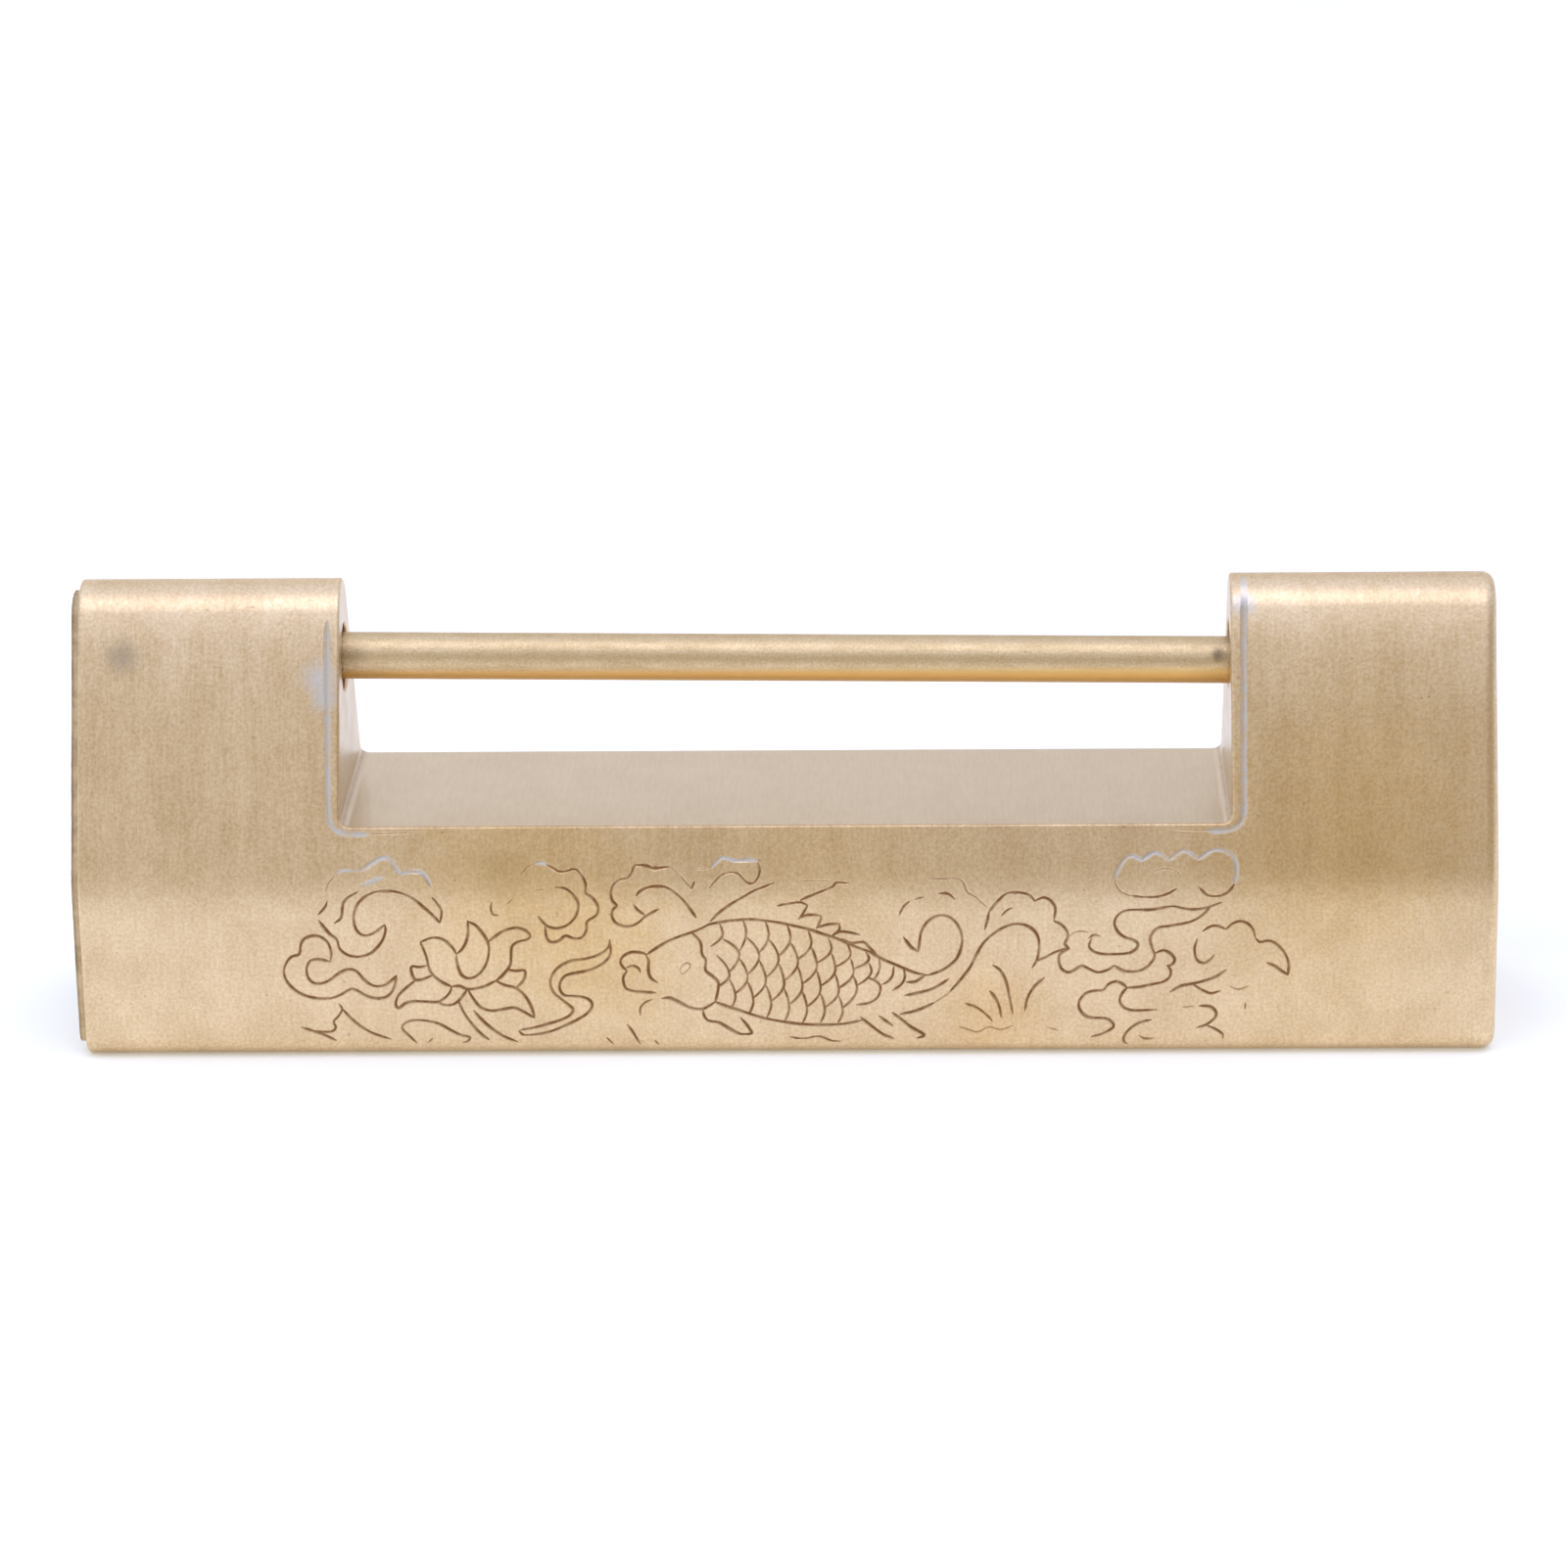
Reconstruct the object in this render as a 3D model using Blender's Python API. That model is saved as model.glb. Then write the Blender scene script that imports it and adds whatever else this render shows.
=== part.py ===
"""Spring padlock in brass: a notched case, a sliding bolt with a round bar, and two leaf springs.

The constants are in millimetres and degrees, and the model is built in metres. +X runs along the lock to
its keyhole end, the front faces -Y and +Z is up. The origin lies on the base, under the middle of the lock.
"""
import math

import bmesh
import bpy
from mathutils import Matrix, Vector

MM = 0.001

# Case
BODY_LENGTH = 89.5
BODY_HEIGHT = 29.2
BODY_DEPTH = 17.5
SHOULDER_HEIGHT = 11.5
RIDGE_RADIUS = 2.4
SHOULDER_RADIUS = 8.0
BASE_EDGE_RADIUS = 1.5
BOLT_END_EDGE_RADIUS = 0.35
KEYHOLE_END_EDGE_RADIUS = 0.8
CHEEK_LENGTH = 16.6
NOTCH_FLOOR_HEIGHT = 15.1
NOTCH_CORNER_RADIUS = 0.6
CHAMBER_MIDDLE_HEIGHT = 7.0
BOLT_REBATE_WALL = 0.6
KEYHOLE_REBATE_WALL = 1.4

# Bar across the notch
BAR_DIAMETER = 3.0
BAR_TENON_DIAMETER = 2.2
BAR_BELOW_RIDGE = 5.15
BAR_ENGAGEMENT = 8.5
BAR_TIP_CHAMFER = 0.4
BAR_CENTRED_PAST_CHEEK = 8.0

# Plates that close the ends
BOLT_PLATE_THICKNESS = 1.2
BOLT_PLATE_PROUD = 0.5
THROAT_PLATE_THICKNESS = 2.0
KEYHOLE_PLATE_THICKNESS = 1.6
KEYHOLE_LIP = 0.6
KEYHOLE_HEIGHT = 4.8

# Stem, leaf springs and rivets
STEM_WIDTH = 3.0
STEM_HEIGHT = 5.0
STEM_LENGTH = 58.0
STEM_TENON_WIDTH = 1.8
STEM_TENON_HEIGHT = 3.4
STEM_TIP_CHAMFER = 0.6
LEAF_THICKNESS = 0.5
LEAF_HEIGHT = 4.4
LEAF_ROOT_LENGTH = 2.0
LEAF_CATCH = 0.5
RIVET_DIAMETER = 1.0
RIVET_HEAD_DIAMETER = 1.9
RIVET_HEAD_THICKNESS = 0.6
RIVET_SPACING = 2.4
RIVET_FROM_TIP = 3.4

# Clearances
SEAT_GAP = 0.3
BAR_PLAY = 0.7
BAR_REST_GAP = 0.2
LEAF_ROOM = 1.1
STEM_ROOM = 1.7
TIP_GAP = 0.4
BLIND_HOLE_GAP = 1.0
CUT_OVERRUN = 1.0

# Smallest rounding of an outline that is drawn in further than its corner
LEAST_RADIUS = 0.05

# Fineness of round shapes
RIDGE_STEPS = 8
SHOULDER_STEPS = 5
BASE_STEPS = 4
END_STEPS = 3
ROUND_SIDES = 32
RIVET_SIDES = 16
CORNER_STEPS = 4
SHARP_EDGE_ANGLE = 30

# Places along the lock, from the bolt end to the keyhole end
OVERALL_LENGTH = BODY_LENGTH + BOLT_PLATE_PROUD
KEYHOLE_END = OVERALL_LENGTH / 2
BODY_LEFT = KEYHOLE_END - BODY_LENGTH
BOLT_PLATE_OUTSIDE = BODY_LEFT - BOLT_PLATE_PROUD
BOLT_PLATE_INSIDE = BOLT_PLATE_OUTSIDE + BOLT_PLATE_THICKNESS
THROAT_OUTSIDE = BOLT_PLATE_INSIDE + SEAT_GAP
THROAT_INSIDE = THROAT_OUTSIDE + THROAT_PLATE_THICKNESS
BOLT_REBATE_FLOOR = THROAT_INSIDE + SEAT_GAP
KEYHOLE_PLATE_INSIDE = KEYHOLE_END - KEYHOLE_PLATE_THICKNESS
KEYHOLE_REBATE_FLOOR = KEYHOLE_PLATE_INSIDE - SEAT_GAP
NOTCH_LEFT = BODY_LEFT + CHEEK_LENGTH
NOTCH_RIGHT = KEYHOLE_END - CHEEK_LENGTH
BAR_TIP = NOTCH_RIGHT + BAR_ENGAGEMENT
BAR_CENTRED_AT = NOTCH_LEFT + BAR_CENTRED_PAST_CHEEK
STEM_TIP = BOLT_PLATE_INSIDE + STEM_LENGTH
RIVET_PLACE = STEM_TIP - RIVET_FROM_TIP
LEAF_TIP = THROAT_INSIDE + TIP_GAP

# Widths across the stem, from its middle plane outwards
LEAF_ROOT_INSIDE = STEM_WIDTH / 2 + SEAT_GAP
RIVET_HEAD_INSIDE = LEAF_ROOT_INSIDE + LEAF_THICKNESS + SEAT_GAP
THROAT_HALF_WIDTH = RIVET_HEAD_INSIDE + RIVET_HEAD_THICKNESS + SEAT_GAP
THROAT_HEIGHT = STEM_HEIGHT + 2 * SEAT_GAP
LEAF_TIP_INSIDE = THROAT_HALF_WIDTH + LEAF_CATCH
CHAMBER_WIDTH = 2 * (LEAF_TIP_INSIDE + LEAF_THICKNESS + LEAF_ROOM)
CHAMBER_HEIGHT = STEM_HEIGHT + 2 * STEM_ROOM
KEYHOLE_WIDTH = CHAMBER_WIDTH - 2 * KEYHOLE_LIP

# The bar's holes, and how far it leans until it nearly rests in the far one
BAR_HOLE_DIAMETER = BAR_DIAMETER + 2 * BAR_PLAY
BAR_HOLE_HEIGHT = BODY_HEIGHT - BAR_BELOW_RIDGE
BAR_DROOP = math.asin((BAR_PLAY - BAR_REST_GAP) / (BAR_TIP - BAR_CENTRED_AT))

# Finishes: linear colour and roughness of each metal surface
FINISHES = {
    "brushed_brass": ((0.60, 0.41, 0.19, 1.0), 0.38),
    "bar_brass": ((0.62, 0.42, 0.19, 1.0), 0.30),
    "plate_brass": ((0.52, 0.35, 0.16, 1.0), 0.42),
    "raw_brass": ((0.16, 0.09, 0.04, 1.0), 0.60),
    "stem_brass": ((0.30, 0.19, 0.08, 1.0), 0.50),
    "spring_bronze": ((0.42, 0.27, 0.12, 1.0), 0.35),
    "rivet_brass": ((0.55, 0.38, 0.18, 1.0), 0.45),
}


def remove_all_objects():
    for old in list(bpy.data.objects):
        bpy.data.objects.remove(old, do_unlink=True)


def make_material(name):
    colour, roughness = FINISHES[name]
    material = bpy.data.materials.new(name)
    material.use_nodes = True
    shader = material.node_tree.nodes["Principled BSDF"]
    shader.inputs["Base Color"].default_value = colour
    shader.inputs["Roughness"].default_value = roughness
    shader.inputs["Metallic"].default_value = 1.0
    return material


def make_object(name, shape, material=None):
    """Turn a bmesh, drawn in millimetres, into an object of that name in metres."""
    bmesh.ops.scale(shape, vec=Vector((MM, MM, MM)), verts=shape.verts)
    bmesh.ops.recalc_face_normals(shape, faces=shape.faces)
    mesh = bpy.data.meshes.new(name)
    shape.to_mesh(mesh)
    shape.free()
    mesh.shade_smooth()
    mesh.set_sharp_from_angle(angle=math.radians(SHARP_EDGE_ANGLE))
    made = bpy.data.objects.new(name, mesh)
    bpy.context.scene.collection.objects.link(made)
    if material is not None:
        mesh.materials.append(material)
    return made


def cut_with(target, cutter):
    """Subtract a guide solid from a piece, and keep the guide hidden."""
    cutter.hide_render = True
    cutter.display_type = 'WIRE'
    modifier = target.modifiers.new("cut_" + cutter.name, 'BOOLEAN')
    modifier.operation = 'DIFFERENCE'
    modifier.solver = 'EXACT'
    modifier.object = cutter


def arc(centre, radius, start, end, steps):
    """Points along a circular arc in a plane, with both ends."""
    angles = [start + (end - start) * step / steps for step in range(steps + 1)]
    return [(centre[0] + radius * math.cos(a), centre[1] + radius * math.sin(a)) for a in angles]


def flank_lean():
    """Angle of the flank from upright: the tangent from the shoulder corner to the ridge circle."""
    half_depth = BODY_DEPTH / 2
    drop = BODY_HEIGHT - RIDGE_RADIUS - SHOULDER_HEIGHT
    return math.acos(RIDGE_RADIUS / math.hypot(half_depth, drop)) - math.atan2(drop, half_depth)


def case_section(inset):
    """Closed outline of the case across its length, drawn in by the inset: pairs of (y, z)."""
    half_depth = BODY_DEPTH / 2
    lean = flank_lean()
    ridge_height = BODY_HEIGHT - RIDGE_RADIUS
    ridge_radius = max(RIDGE_RADIUS - inset, LEAST_RADIUS)
    ridge_centre = (0.0, ridge_height + (RIDGE_RADIUS - inset - ridge_radius) / math.sin(lean))
    shoulder_y = half_depth - SHOULDER_RADIUS
    shoulder_rise = (RIDGE_RADIUS - SHOULDER_RADIUS - math.cos(lean) * shoulder_y) / math.sin(lean)
    base_corner = max(BASE_EDGE_RADIUS, inset + LEAST_RADIUS)
    base = arc((half_depth - base_corner, base_corner), base_corner - inset, -math.pi / 2, 0, BASE_STEPS)
    shoulder = arc((shoulder_y, ridge_height + shoulder_rise), SHOULDER_RADIUS - inset, 0, lean, SHOULDER_STEPS)
    ridge = arc(ridge_centre, ridge_radius, lean, math.pi / 2, RIDGE_STEPS)
    side = base + shoulder + ridge
    other_side = [(-y, z) for y, z in reversed(side[:-1])]
    return side + other_side


def loft(stations):
    """Solid through outlines set across the length: pairs of (x, outline)."""
    shape = bmesh.new()
    loops = [[shape.verts.new((x, y, z)) for y, z in outline] for x, outline in stations]
    for near, far in zip(loops, loops[1:]):
        for first in range(len(near)):
            second = (first + 1) % len(near)
            shape.faces.new((near[first], near[second], far[second], far[first]))
    shape.faces.new(loops[0])
    shape.faces.new(list(reversed(loops[-1])))
    return shape


def section_prism(inset, start, end):
    outline = case_section(inset)
    return loft([(start, outline), (end, outline)])


def box(low, high):
    shape = bmesh.new()
    bmesh.ops.create_cube(shape, size=1.0)
    size = [b - a for a, b in zip(low, high)]
    middle = [(a + b) / 2 for a, b in zip(low, high)]
    bmesh.ops.scale(shape, vec=Vector(size), verts=shape.verts)
    bmesh.ops.translate(shape, vec=Vector(middle), verts=shape.verts)
    return shape


def turned(profile, sides):
    """Solid of revolution about X: pairs of (x, radius), closed by flat ends."""
    turns = [2 * math.pi * side / sides for side in range(sides)]
    return loft([(x, [(r * math.cos(a), r * math.sin(a)) for a in turns]) for x, r in profile])


def extrude_outline(outline, low, high, placed):
    """Prism over a closed outline; placed(u, v, w) puts outline and height into space."""
    shape = bmesh.new()
    bottom = [shape.verts.new(placed(u, v, low)) for u, v in outline]
    top = [shape.verts.new(placed(u, v, high)) for u, v in outline]
    for first in range(len(outline)):
        second = (first + 1) % len(outline)
        shape.faces.new((bottom[first], bottom[second], top[second], top[first]))
    shape.faces.new(list(reversed(bottom)))
    shape.faces.new(top)
    return shape


def edge_round(radius):
    """Quarter circle from an end face inwards: pairs of depth along the lock and inset."""
    turns = [math.pi / 2 * step / END_STEPS for step in range(END_STEPS + 1)]
    return [(radius * (1 - math.cos(turn)), radius * (1 - math.sin(turn))) for turn in turns]


def rounded_end_stations():
    """Outlines along the case, with its two end edges rounded."""
    left = [(BODY_LEFT + depth, case_section(inset)) for depth, inset in edge_round(BOLT_END_EDGE_RADIUS)]
    right = [(KEYHOLE_END - depth, case_section(inset)) for depth, inset in edge_round(KEYHOLE_END_EDGE_RADIUS)]
    return left + list(reversed(right))


def notch_cutter():
    """The long notch between the cheeks, with rounded corners at its floor."""
    radius = NOTCH_CORNER_RADIUS
    low = NOTCH_FLOOR_HEIGHT
    high = BODY_HEIGHT + CUT_OVERRUN
    left_corner = arc((NOTCH_LEFT + radius, low + radius), radius, math.pi, 1.5 * math.pi, CORNER_STEPS)
    right_corner = arc((NOTCH_RIGHT - radius, low + radius), radius, 1.5 * math.pi, 2 * math.pi, CORNER_STEPS)
    outline = [(NOTCH_LEFT, high)] + left_corner + right_corner + [(NOTCH_RIGHT, high)]
    reach = BODY_DEPTH / 2 + CUT_OVERRUN
    return extrude_outline(outline, -reach, reach, lambda u, v, w: (u, w, v))


def bar_hole_cutter(name, start, end):
    radius = BAR_HOLE_DIAMETER / 2
    shape = turned([(start, radius), (end, radius)], ROUND_SIDES)
    bmesh.ops.translate(shape, vec=Vector((0, 0, BAR_HOLE_HEIGHT)), verts=shape.verts)
    return make_object(name, shape)


def build_lock_body(material):
    body = make_object("lock_body", loft(rounded_end_stations()), material)
    bolt_rebate = section_prism(BOLT_REBATE_WALL, BODY_LEFT - CUT_OVERRUN, BOLT_REBATE_FLOOR)
    keyhole_rebate = section_prism(KEYHOLE_REBATE_WALL, KEYHOLE_REBATE_FLOOR, KEYHOLE_END + CUT_OVERRUN)
    half_chamber = CHAMBER_HEIGHT / 2
    chamber_low = (BOLT_REBATE_FLOOR - CUT_OVERRUN, -CHAMBER_WIDTH / 2, CHAMBER_MIDDLE_HEIGHT - half_chamber)
    chamber_high = (KEYHOLE_REBATE_FLOOR + CUT_OVERRUN, CHAMBER_WIDTH / 2, CHAMBER_MIDDLE_HEIGHT + half_chamber)
    cut_with(body, make_object("notch_guide", notch_cutter()))
    cut_with(body, make_object("bolt_rebate_guide", bolt_rebate))
    cut_with(body, make_object("keyhole_rebate_guide", keyhole_rebate))
    cut_with(body, make_object("chamber_guide", box(chamber_low, chamber_high)))
    hole_start = BOLT_REBATE_FLOOR - CUT_OVERRUN
    cut_with(body, bar_hole_cutter("bar_hole_guide", hole_start, BAR_TIP + BLIND_HOLE_GAP))
    return body


def build_keyhole_plate(material):
    plate = section_prism(KEYHOLE_REBATE_WALL + SEAT_GAP, KEYHOLE_PLATE_INSIDE, KEYHOLE_END)
    plate = make_object("keyhole_plate", plate, material)
    low = (KEYHOLE_PLATE_INSIDE - CUT_OVERRUN, -KEYHOLE_WIDTH / 2, CHAMBER_MIDDLE_HEIGHT - KEYHOLE_HEIGHT / 2)
    high = (KEYHOLE_END + CUT_OVERRUN, KEYHOLE_WIDTH / 2, CHAMBER_MIDDLE_HEIGHT + KEYHOLE_HEIGHT / 2)
    cut_with(plate, make_object("keyhole_guide", box(low, high)))
    return plate


def build_throat_plate(material):
    plate = section_prism(BOLT_REBATE_WALL + SEAT_GAP, THROAT_OUTSIDE, THROAT_INSIDE)
    plate = make_object("throat_plate", plate, material)
    start = THROAT_OUTSIDE - CUT_OVERRUN
    end = THROAT_INSIDE + CUT_OVERRUN
    low = (start, -THROAT_HALF_WIDTH, CHAMBER_MIDDLE_HEIGHT - THROAT_HEIGHT / 2)
    high = (end, THROAT_HALF_WIDTH, CHAMBER_MIDDLE_HEIGHT + THROAT_HEIGHT / 2)
    cut_with(plate, make_object("throat_guide", box(low, high)))
    cut_with(plate, bar_hole_cutter("throat_bar_hole_guide", start, end))
    return plate


def drooped(shape):
    """Lean a shape drawn along the hole's axis: it lies loose and sinks towards the keyhole end."""
    pivot = Vector((BAR_CENTRED_AT, 0, BAR_HOLE_HEIGHT))
    bmesh.ops.translate(shape, vec=Vector((0, 0, BAR_HOLE_HEIGHT)), verts=shape.verts)
    lean = Matrix.Rotation(BAR_DROOP, 4, 'Y')
    bmesh.ops.transform(shape, matrix=lean, space=Matrix.Translation(-pivot), verts=shape.verts)
    return shape


def build_bolt_end_plate(material):
    plate = section_prism(BOLT_REBATE_WALL + SEAT_GAP, BOLT_PLATE_OUTSIDE, BOLT_PLATE_INSIDE)
    plate = make_object("bolt_end_plate", plate, material)
    start = BOLT_PLATE_OUTSIDE - CUT_OVERRUN
    end = BOLT_PLATE_INSIDE + CUT_OVERRUN
    radius = BAR_TENON_DIAMETER / 2 + SEAT_GAP
    half_width = STEM_TENON_WIDTH / 2 + SEAT_GAP
    half_height = STEM_TENON_HEIGHT / 2 + SEAT_GAP
    low = (start, -half_width, CHAMBER_MIDDLE_HEIGHT - half_height)
    high = (end, half_width, CHAMBER_MIDDLE_HEIGHT + half_height)
    tenon_hole = drooped(turned([(start, radius), (end, radius)], ROUND_SIDES))
    cut_with(plate, make_object("bar_tenon_guide", tenon_hole))
    cut_with(plate, make_object("stem_tenon_guide", box(low, high)))
    return plate


def build_shackle_bar(material):
    radius = BAR_DIAMETER / 2
    tenon = BAR_TENON_DIAMETER / 2
    shoulder = BOLT_PLATE_INSIDE + SEAT_GAP
    tenon_face = BOLT_PLATE_OUTSIDE + SEAT_GAP
    profile = [(tenon_face, tenon), (shoulder, tenon), (shoulder, radius)]
    profile += [(BAR_TIP - BAR_TIP_CHAMFER, radius), (BAR_TIP, radius - BAR_TIP_CHAMFER)]
    return make_object("shackle_bar", drooped(turned(profile, ROUND_SIDES)), material)


def rectangle(width, height):
    """Outline of a rectangle about the stem's middle, as pairs of (y, z)."""
    corners = [(-1, -1), (1, -1), (1, 1), (-1, 1)]
    return [(side * width / 2, CHAMBER_MIDDLE_HEIGHT + rise * height / 2) for side, rise in corners]


def rivet_heights():
    return [CHAMBER_MIDDLE_HEIGHT + side * RIVET_SPACING / 2 for side in (1, -1)]


def rivet_hole_cutter(name, height):
    """Guide for one rivet's hole, wide enough to clear its shank."""
    radius = RIVET_DIAMETER / 2 + SEAT_GAP
    reach = LEAF_TIP_INSIDE + LEAF_THICKNESS + CUT_OVERRUN
    return make_object(name, across_lock(turned([(-reach, radius), (reach, radius)], RIVET_SIDES), height))


def across_lock(shape, height):
    """Turn a shape drawn along X to lie across the lock at the rivets' place."""
    bmesh.ops.rotate(shape, matrix=Matrix.Rotation(math.pi / 2, 3, 'Z'), verts=shape.verts)
    bmesh.ops.translate(shape, vec=Vector((RIVET_PLACE, 0, height)), verts=shape.verts)
    return shape


def build_spring_stem(material, rivet_holes):
    full = rectangle(STEM_WIDTH, STEM_HEIGHT)
    tenon = rectangle(STEM_TENON_WIDTH, STEM_TENON_HEIGHT)
    tip = rectangle(STEM_WIDTH - 2 * STEM_TIP_CHAMFER, STEM_HEIGHT - 2 * STEM_TIP_CHAMFER)
    shoulder = BOLT_PLATE_INSIDE + SEAT_GAP
    tenon_face = BOLT_PLATE_OUTSIDE + SEAT_GAP
    stations = [(tenon_face, tenon), (shoulder, tenon), (shoulder, full)]
    stations += [(STEM_TIP - STEM_TIP_CHAMFER, full), (STEM_TIP, tip)]
    stem = make_object("spring_stem", loft(stations), material)
    for hole in rivet_holes:
        cut_with(stem, hole)
    return stem


def build_leaf(name, side, material, rivet_holes):
    """One leaf: flat where it is riveted, then spread straight out to its tip behind the throat."""
    inner = [(RIVET_PLACE + LEAF_ROOT_LENGTH, LEAF_ROOT_INSIDE), (RIVET_PLACE, LEAF_ROOT_INSIDE)]
    inner += [(LEAF_TIP, LEAF_TIP_INSIDE)]
    outer = [(x, y + LEAF_THICKNESS) for x, y in reversed(inner)]
    low = CHAMBER_MIDDLE_HEIGHT - LEAF_HEIGHT / 2
    high = CHAMBER_MIDDLE_HEIGHT + LEAF_HEIGHT / 2
    leaf = extrude_outline(inner + outer, low, high, lambda u, v, w: (u, side * v, w))
    leaf = make_object(name, leaf, material)
    for hole in rivet_holes:
        cut_with(leaf, hole)
    return leaf


def build_rivet(name, height, material):
    """A rivet through both leaves and the stem, with a flat head on each side."""
    shank = RIVET_DIAMETER / 2
    head = RIVET_HEAD_DIAMETER / 2
    outside = RIVET_HEAD_INSIDE + RIVET_HEAD_THICKNESS
    half = [(RIVET_HEAD_INSIDE, shank), (RIVET_HEAD_INSIDE, head), (outside, head)]
    profile = [(-x, r) for x, r in reversed(half)] + half
    return make_object(name, across_lock(turned(profile, RIVET_SIDES), height), material)


def move_origin(made, place):
    """Put a piece's origin at a place in millimetres without moving its surface."""
    point = Vector(place) * MM
    made.data.transform(Matrix.Translation(-point))
    made.location = point


def keep_place_under(parent, child):
    """Parent a piece to an empty that has no turn, and leave it where it is."""
    child.parent = parent
    child.location = child.location - parent.location


def main():
    remove_all_objects()
    plate_brass = make_material("plate_brass")
    rivet_brass = make_material("rivet_brass")
    spring_bronze = make_material("spring_bronze")

    build_lock_body(make_material("brushed_brass"))
    build_keyhole_plate(plate_brass)
    build_throat_plate(plate_brass)

    upper, lower = rivet_heights()
    rivet_holes = [rivet_hole_cutter("upper_rivet_guide", upper), rivet_hole_cutter("lower_rivet_guide", lower)]
    bolt_pieces = [
        build_bolt_end_plate(make_material("raw_brass")),
        build_shackle_bar(make_material("bar_brass")),
        build_spring_stem(make_material("stem_brass"), rivet_holes),
        build_rivet("upper_leaf_rivet", upper, rivet_brass),
        build_rivet("lower_leaf_rivet", lower, rivet_brass),
    ]
    leaves = [
        build_leaf("front_leaf_spring", -1, spring_bronze, rivet_holes),
        build_leaf("back_leaf_spring", 1, spring_bronze, rivet_holes),
    ]

    bolt_axis = bpy.data.objects.new("bolt_slide_axis", None)
    bolt_axis.location = Vector((BOLT_PLATE_INSIDE, 0, CHAMBER_MIDDLE_HEIGHT)) * MM
    bpy.context.scene.collection.objects.link(bolt_axis)
    for side, leaf in zip((-1, 1), leaves):
        hinge_y = side * (LEAF_ROOT_INSIDE + LEAF_THICKNESS / 2)
        move_origin(leaf, (RIVET_PLACE, hinge_y, CHAMBER_MIDDLE_HEIGHT))
    for piece in bolt_pieces + leaves:
        keep_place_under(bolt_axis, piece)


if __name__ == "__main__":
    main()
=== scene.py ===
"""Looks of a brass spring padlock with an engraved carp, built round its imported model.

Lengths inside the classes are in millimetres, and a mesh is put into metres when it is made.
X runs along the lock to its keyhole end, the engraved front faces -Y and Z is up.
"""

from __future__ import annotations

import logging
import math
import re
from dataclasses import dataclass, field
from enum import Enum

import bpy
import numpy as np
from mathutils import Matrix, Vector
from mathutils.geometry import delaunay_2d_cdt

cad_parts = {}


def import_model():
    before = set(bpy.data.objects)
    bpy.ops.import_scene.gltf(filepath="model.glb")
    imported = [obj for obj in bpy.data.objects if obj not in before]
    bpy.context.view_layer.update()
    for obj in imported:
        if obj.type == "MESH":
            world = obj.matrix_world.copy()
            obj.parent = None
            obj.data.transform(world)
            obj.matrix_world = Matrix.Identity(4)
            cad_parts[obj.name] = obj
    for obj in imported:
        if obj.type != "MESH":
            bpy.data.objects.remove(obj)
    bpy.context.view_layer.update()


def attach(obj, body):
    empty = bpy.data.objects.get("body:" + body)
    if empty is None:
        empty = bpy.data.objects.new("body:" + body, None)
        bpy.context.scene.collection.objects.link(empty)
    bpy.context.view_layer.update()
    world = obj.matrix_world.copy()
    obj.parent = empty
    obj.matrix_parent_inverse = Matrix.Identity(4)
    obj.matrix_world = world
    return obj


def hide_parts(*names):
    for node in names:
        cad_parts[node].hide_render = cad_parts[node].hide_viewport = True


Array = np.ndarray
Pair = tuple[float, float]
Triple = tuple[float, float, float]
Colour = Triple
Material = bpy.types.Material
Piece = bpy.types.Object
Socket = bpy.types.NodeSocket
MM = 0.001
MERGE = 1e-4
CLOSE = 1e-6
QUARTER = math.pi / 2
LEAST_RADIUS = 0.02
CORNER_POINTS = 6
ALONG = np.array([1.0, 0.0, 0.0])
TO_BACK = np.array([1.0, -1.0, 1.0])
log = logging.getLogger("padlock")


# Surfaces


@dataclass(frozen=True)
class Patch:
    """A stretch of surface in triangles.

    Attributes:
        points: Places of its vertices, one row each.
        faces: Three vertex numbers for each triangle.
        corners: Outward normal of each triangle at its three corners.
        marks: Darkness and greyness of engraved lines, and share of the notch's cast of dust and painted
            sheen, at each vertex.
    """

    points: Array
    faces: Array
    corners: Array
    marks: Array


def make_patch(points: Array, normals: Array, faces: Array, marks: Array | None = None) -> Patch:
    """Make a patch whose normals are given at its vertices.

    Args:
        points: Places of the vertices.
        normals: Outward normal at each vertex.
        faces: Three vertex numbers for each triangle.
        marks: The three marks at each vertex, nought if left out.

    Returns:
        The patch.
    """
    marks = np.zeros((len(points), 3)) if marks is None else marks
    return Patch(points, faces, normals[faces], marks)


def grid_patch(
    points: Array,
    normals: Array,
    closed: bool = False,
    keep: Array | None = None,
    notch_dust_and_sheen: float = 0.0,
) -> Patch:
    """Two triangles for each cell of a grid of rows and columns.

    Args:
        points: Places, as rows by columns by three.
        normals: Normals, of the same shape.
        closed: Whether the last column joins on to the first.
        keep: Which cells are made, all if left out.
        notch_dust_and_sheen: Share of the notch's grey cast, partly dust and partly a painted sheen.

    Returns:
        The patch.
    """
    rows, columns = points.shape[:2]
    index = np.arange(rows * columns).reshape(rows, columns)
    if closed:
        index = np.concatenate([index, index[:, :1]], axis=1)
    cells = np.stack([index[:-1, :-1], index[1:, :-1], index[1:, 1:], index[:-1, 1:]], axis=-1)
    cells = cells.reshape(-1, 4) if keep is None else cells[keep]
    faces = np.concatenate([cells[:, [0, 1, 2]], cells[:, [0, 2, 3]]])
    marks = np.tile([0.0, 0.0, notch_dust_and_sheen], (rows * columns, 1))
    return make_patch(points.reshape(-1, 3), normals.reshape(-1, 3), faces, marks)


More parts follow.
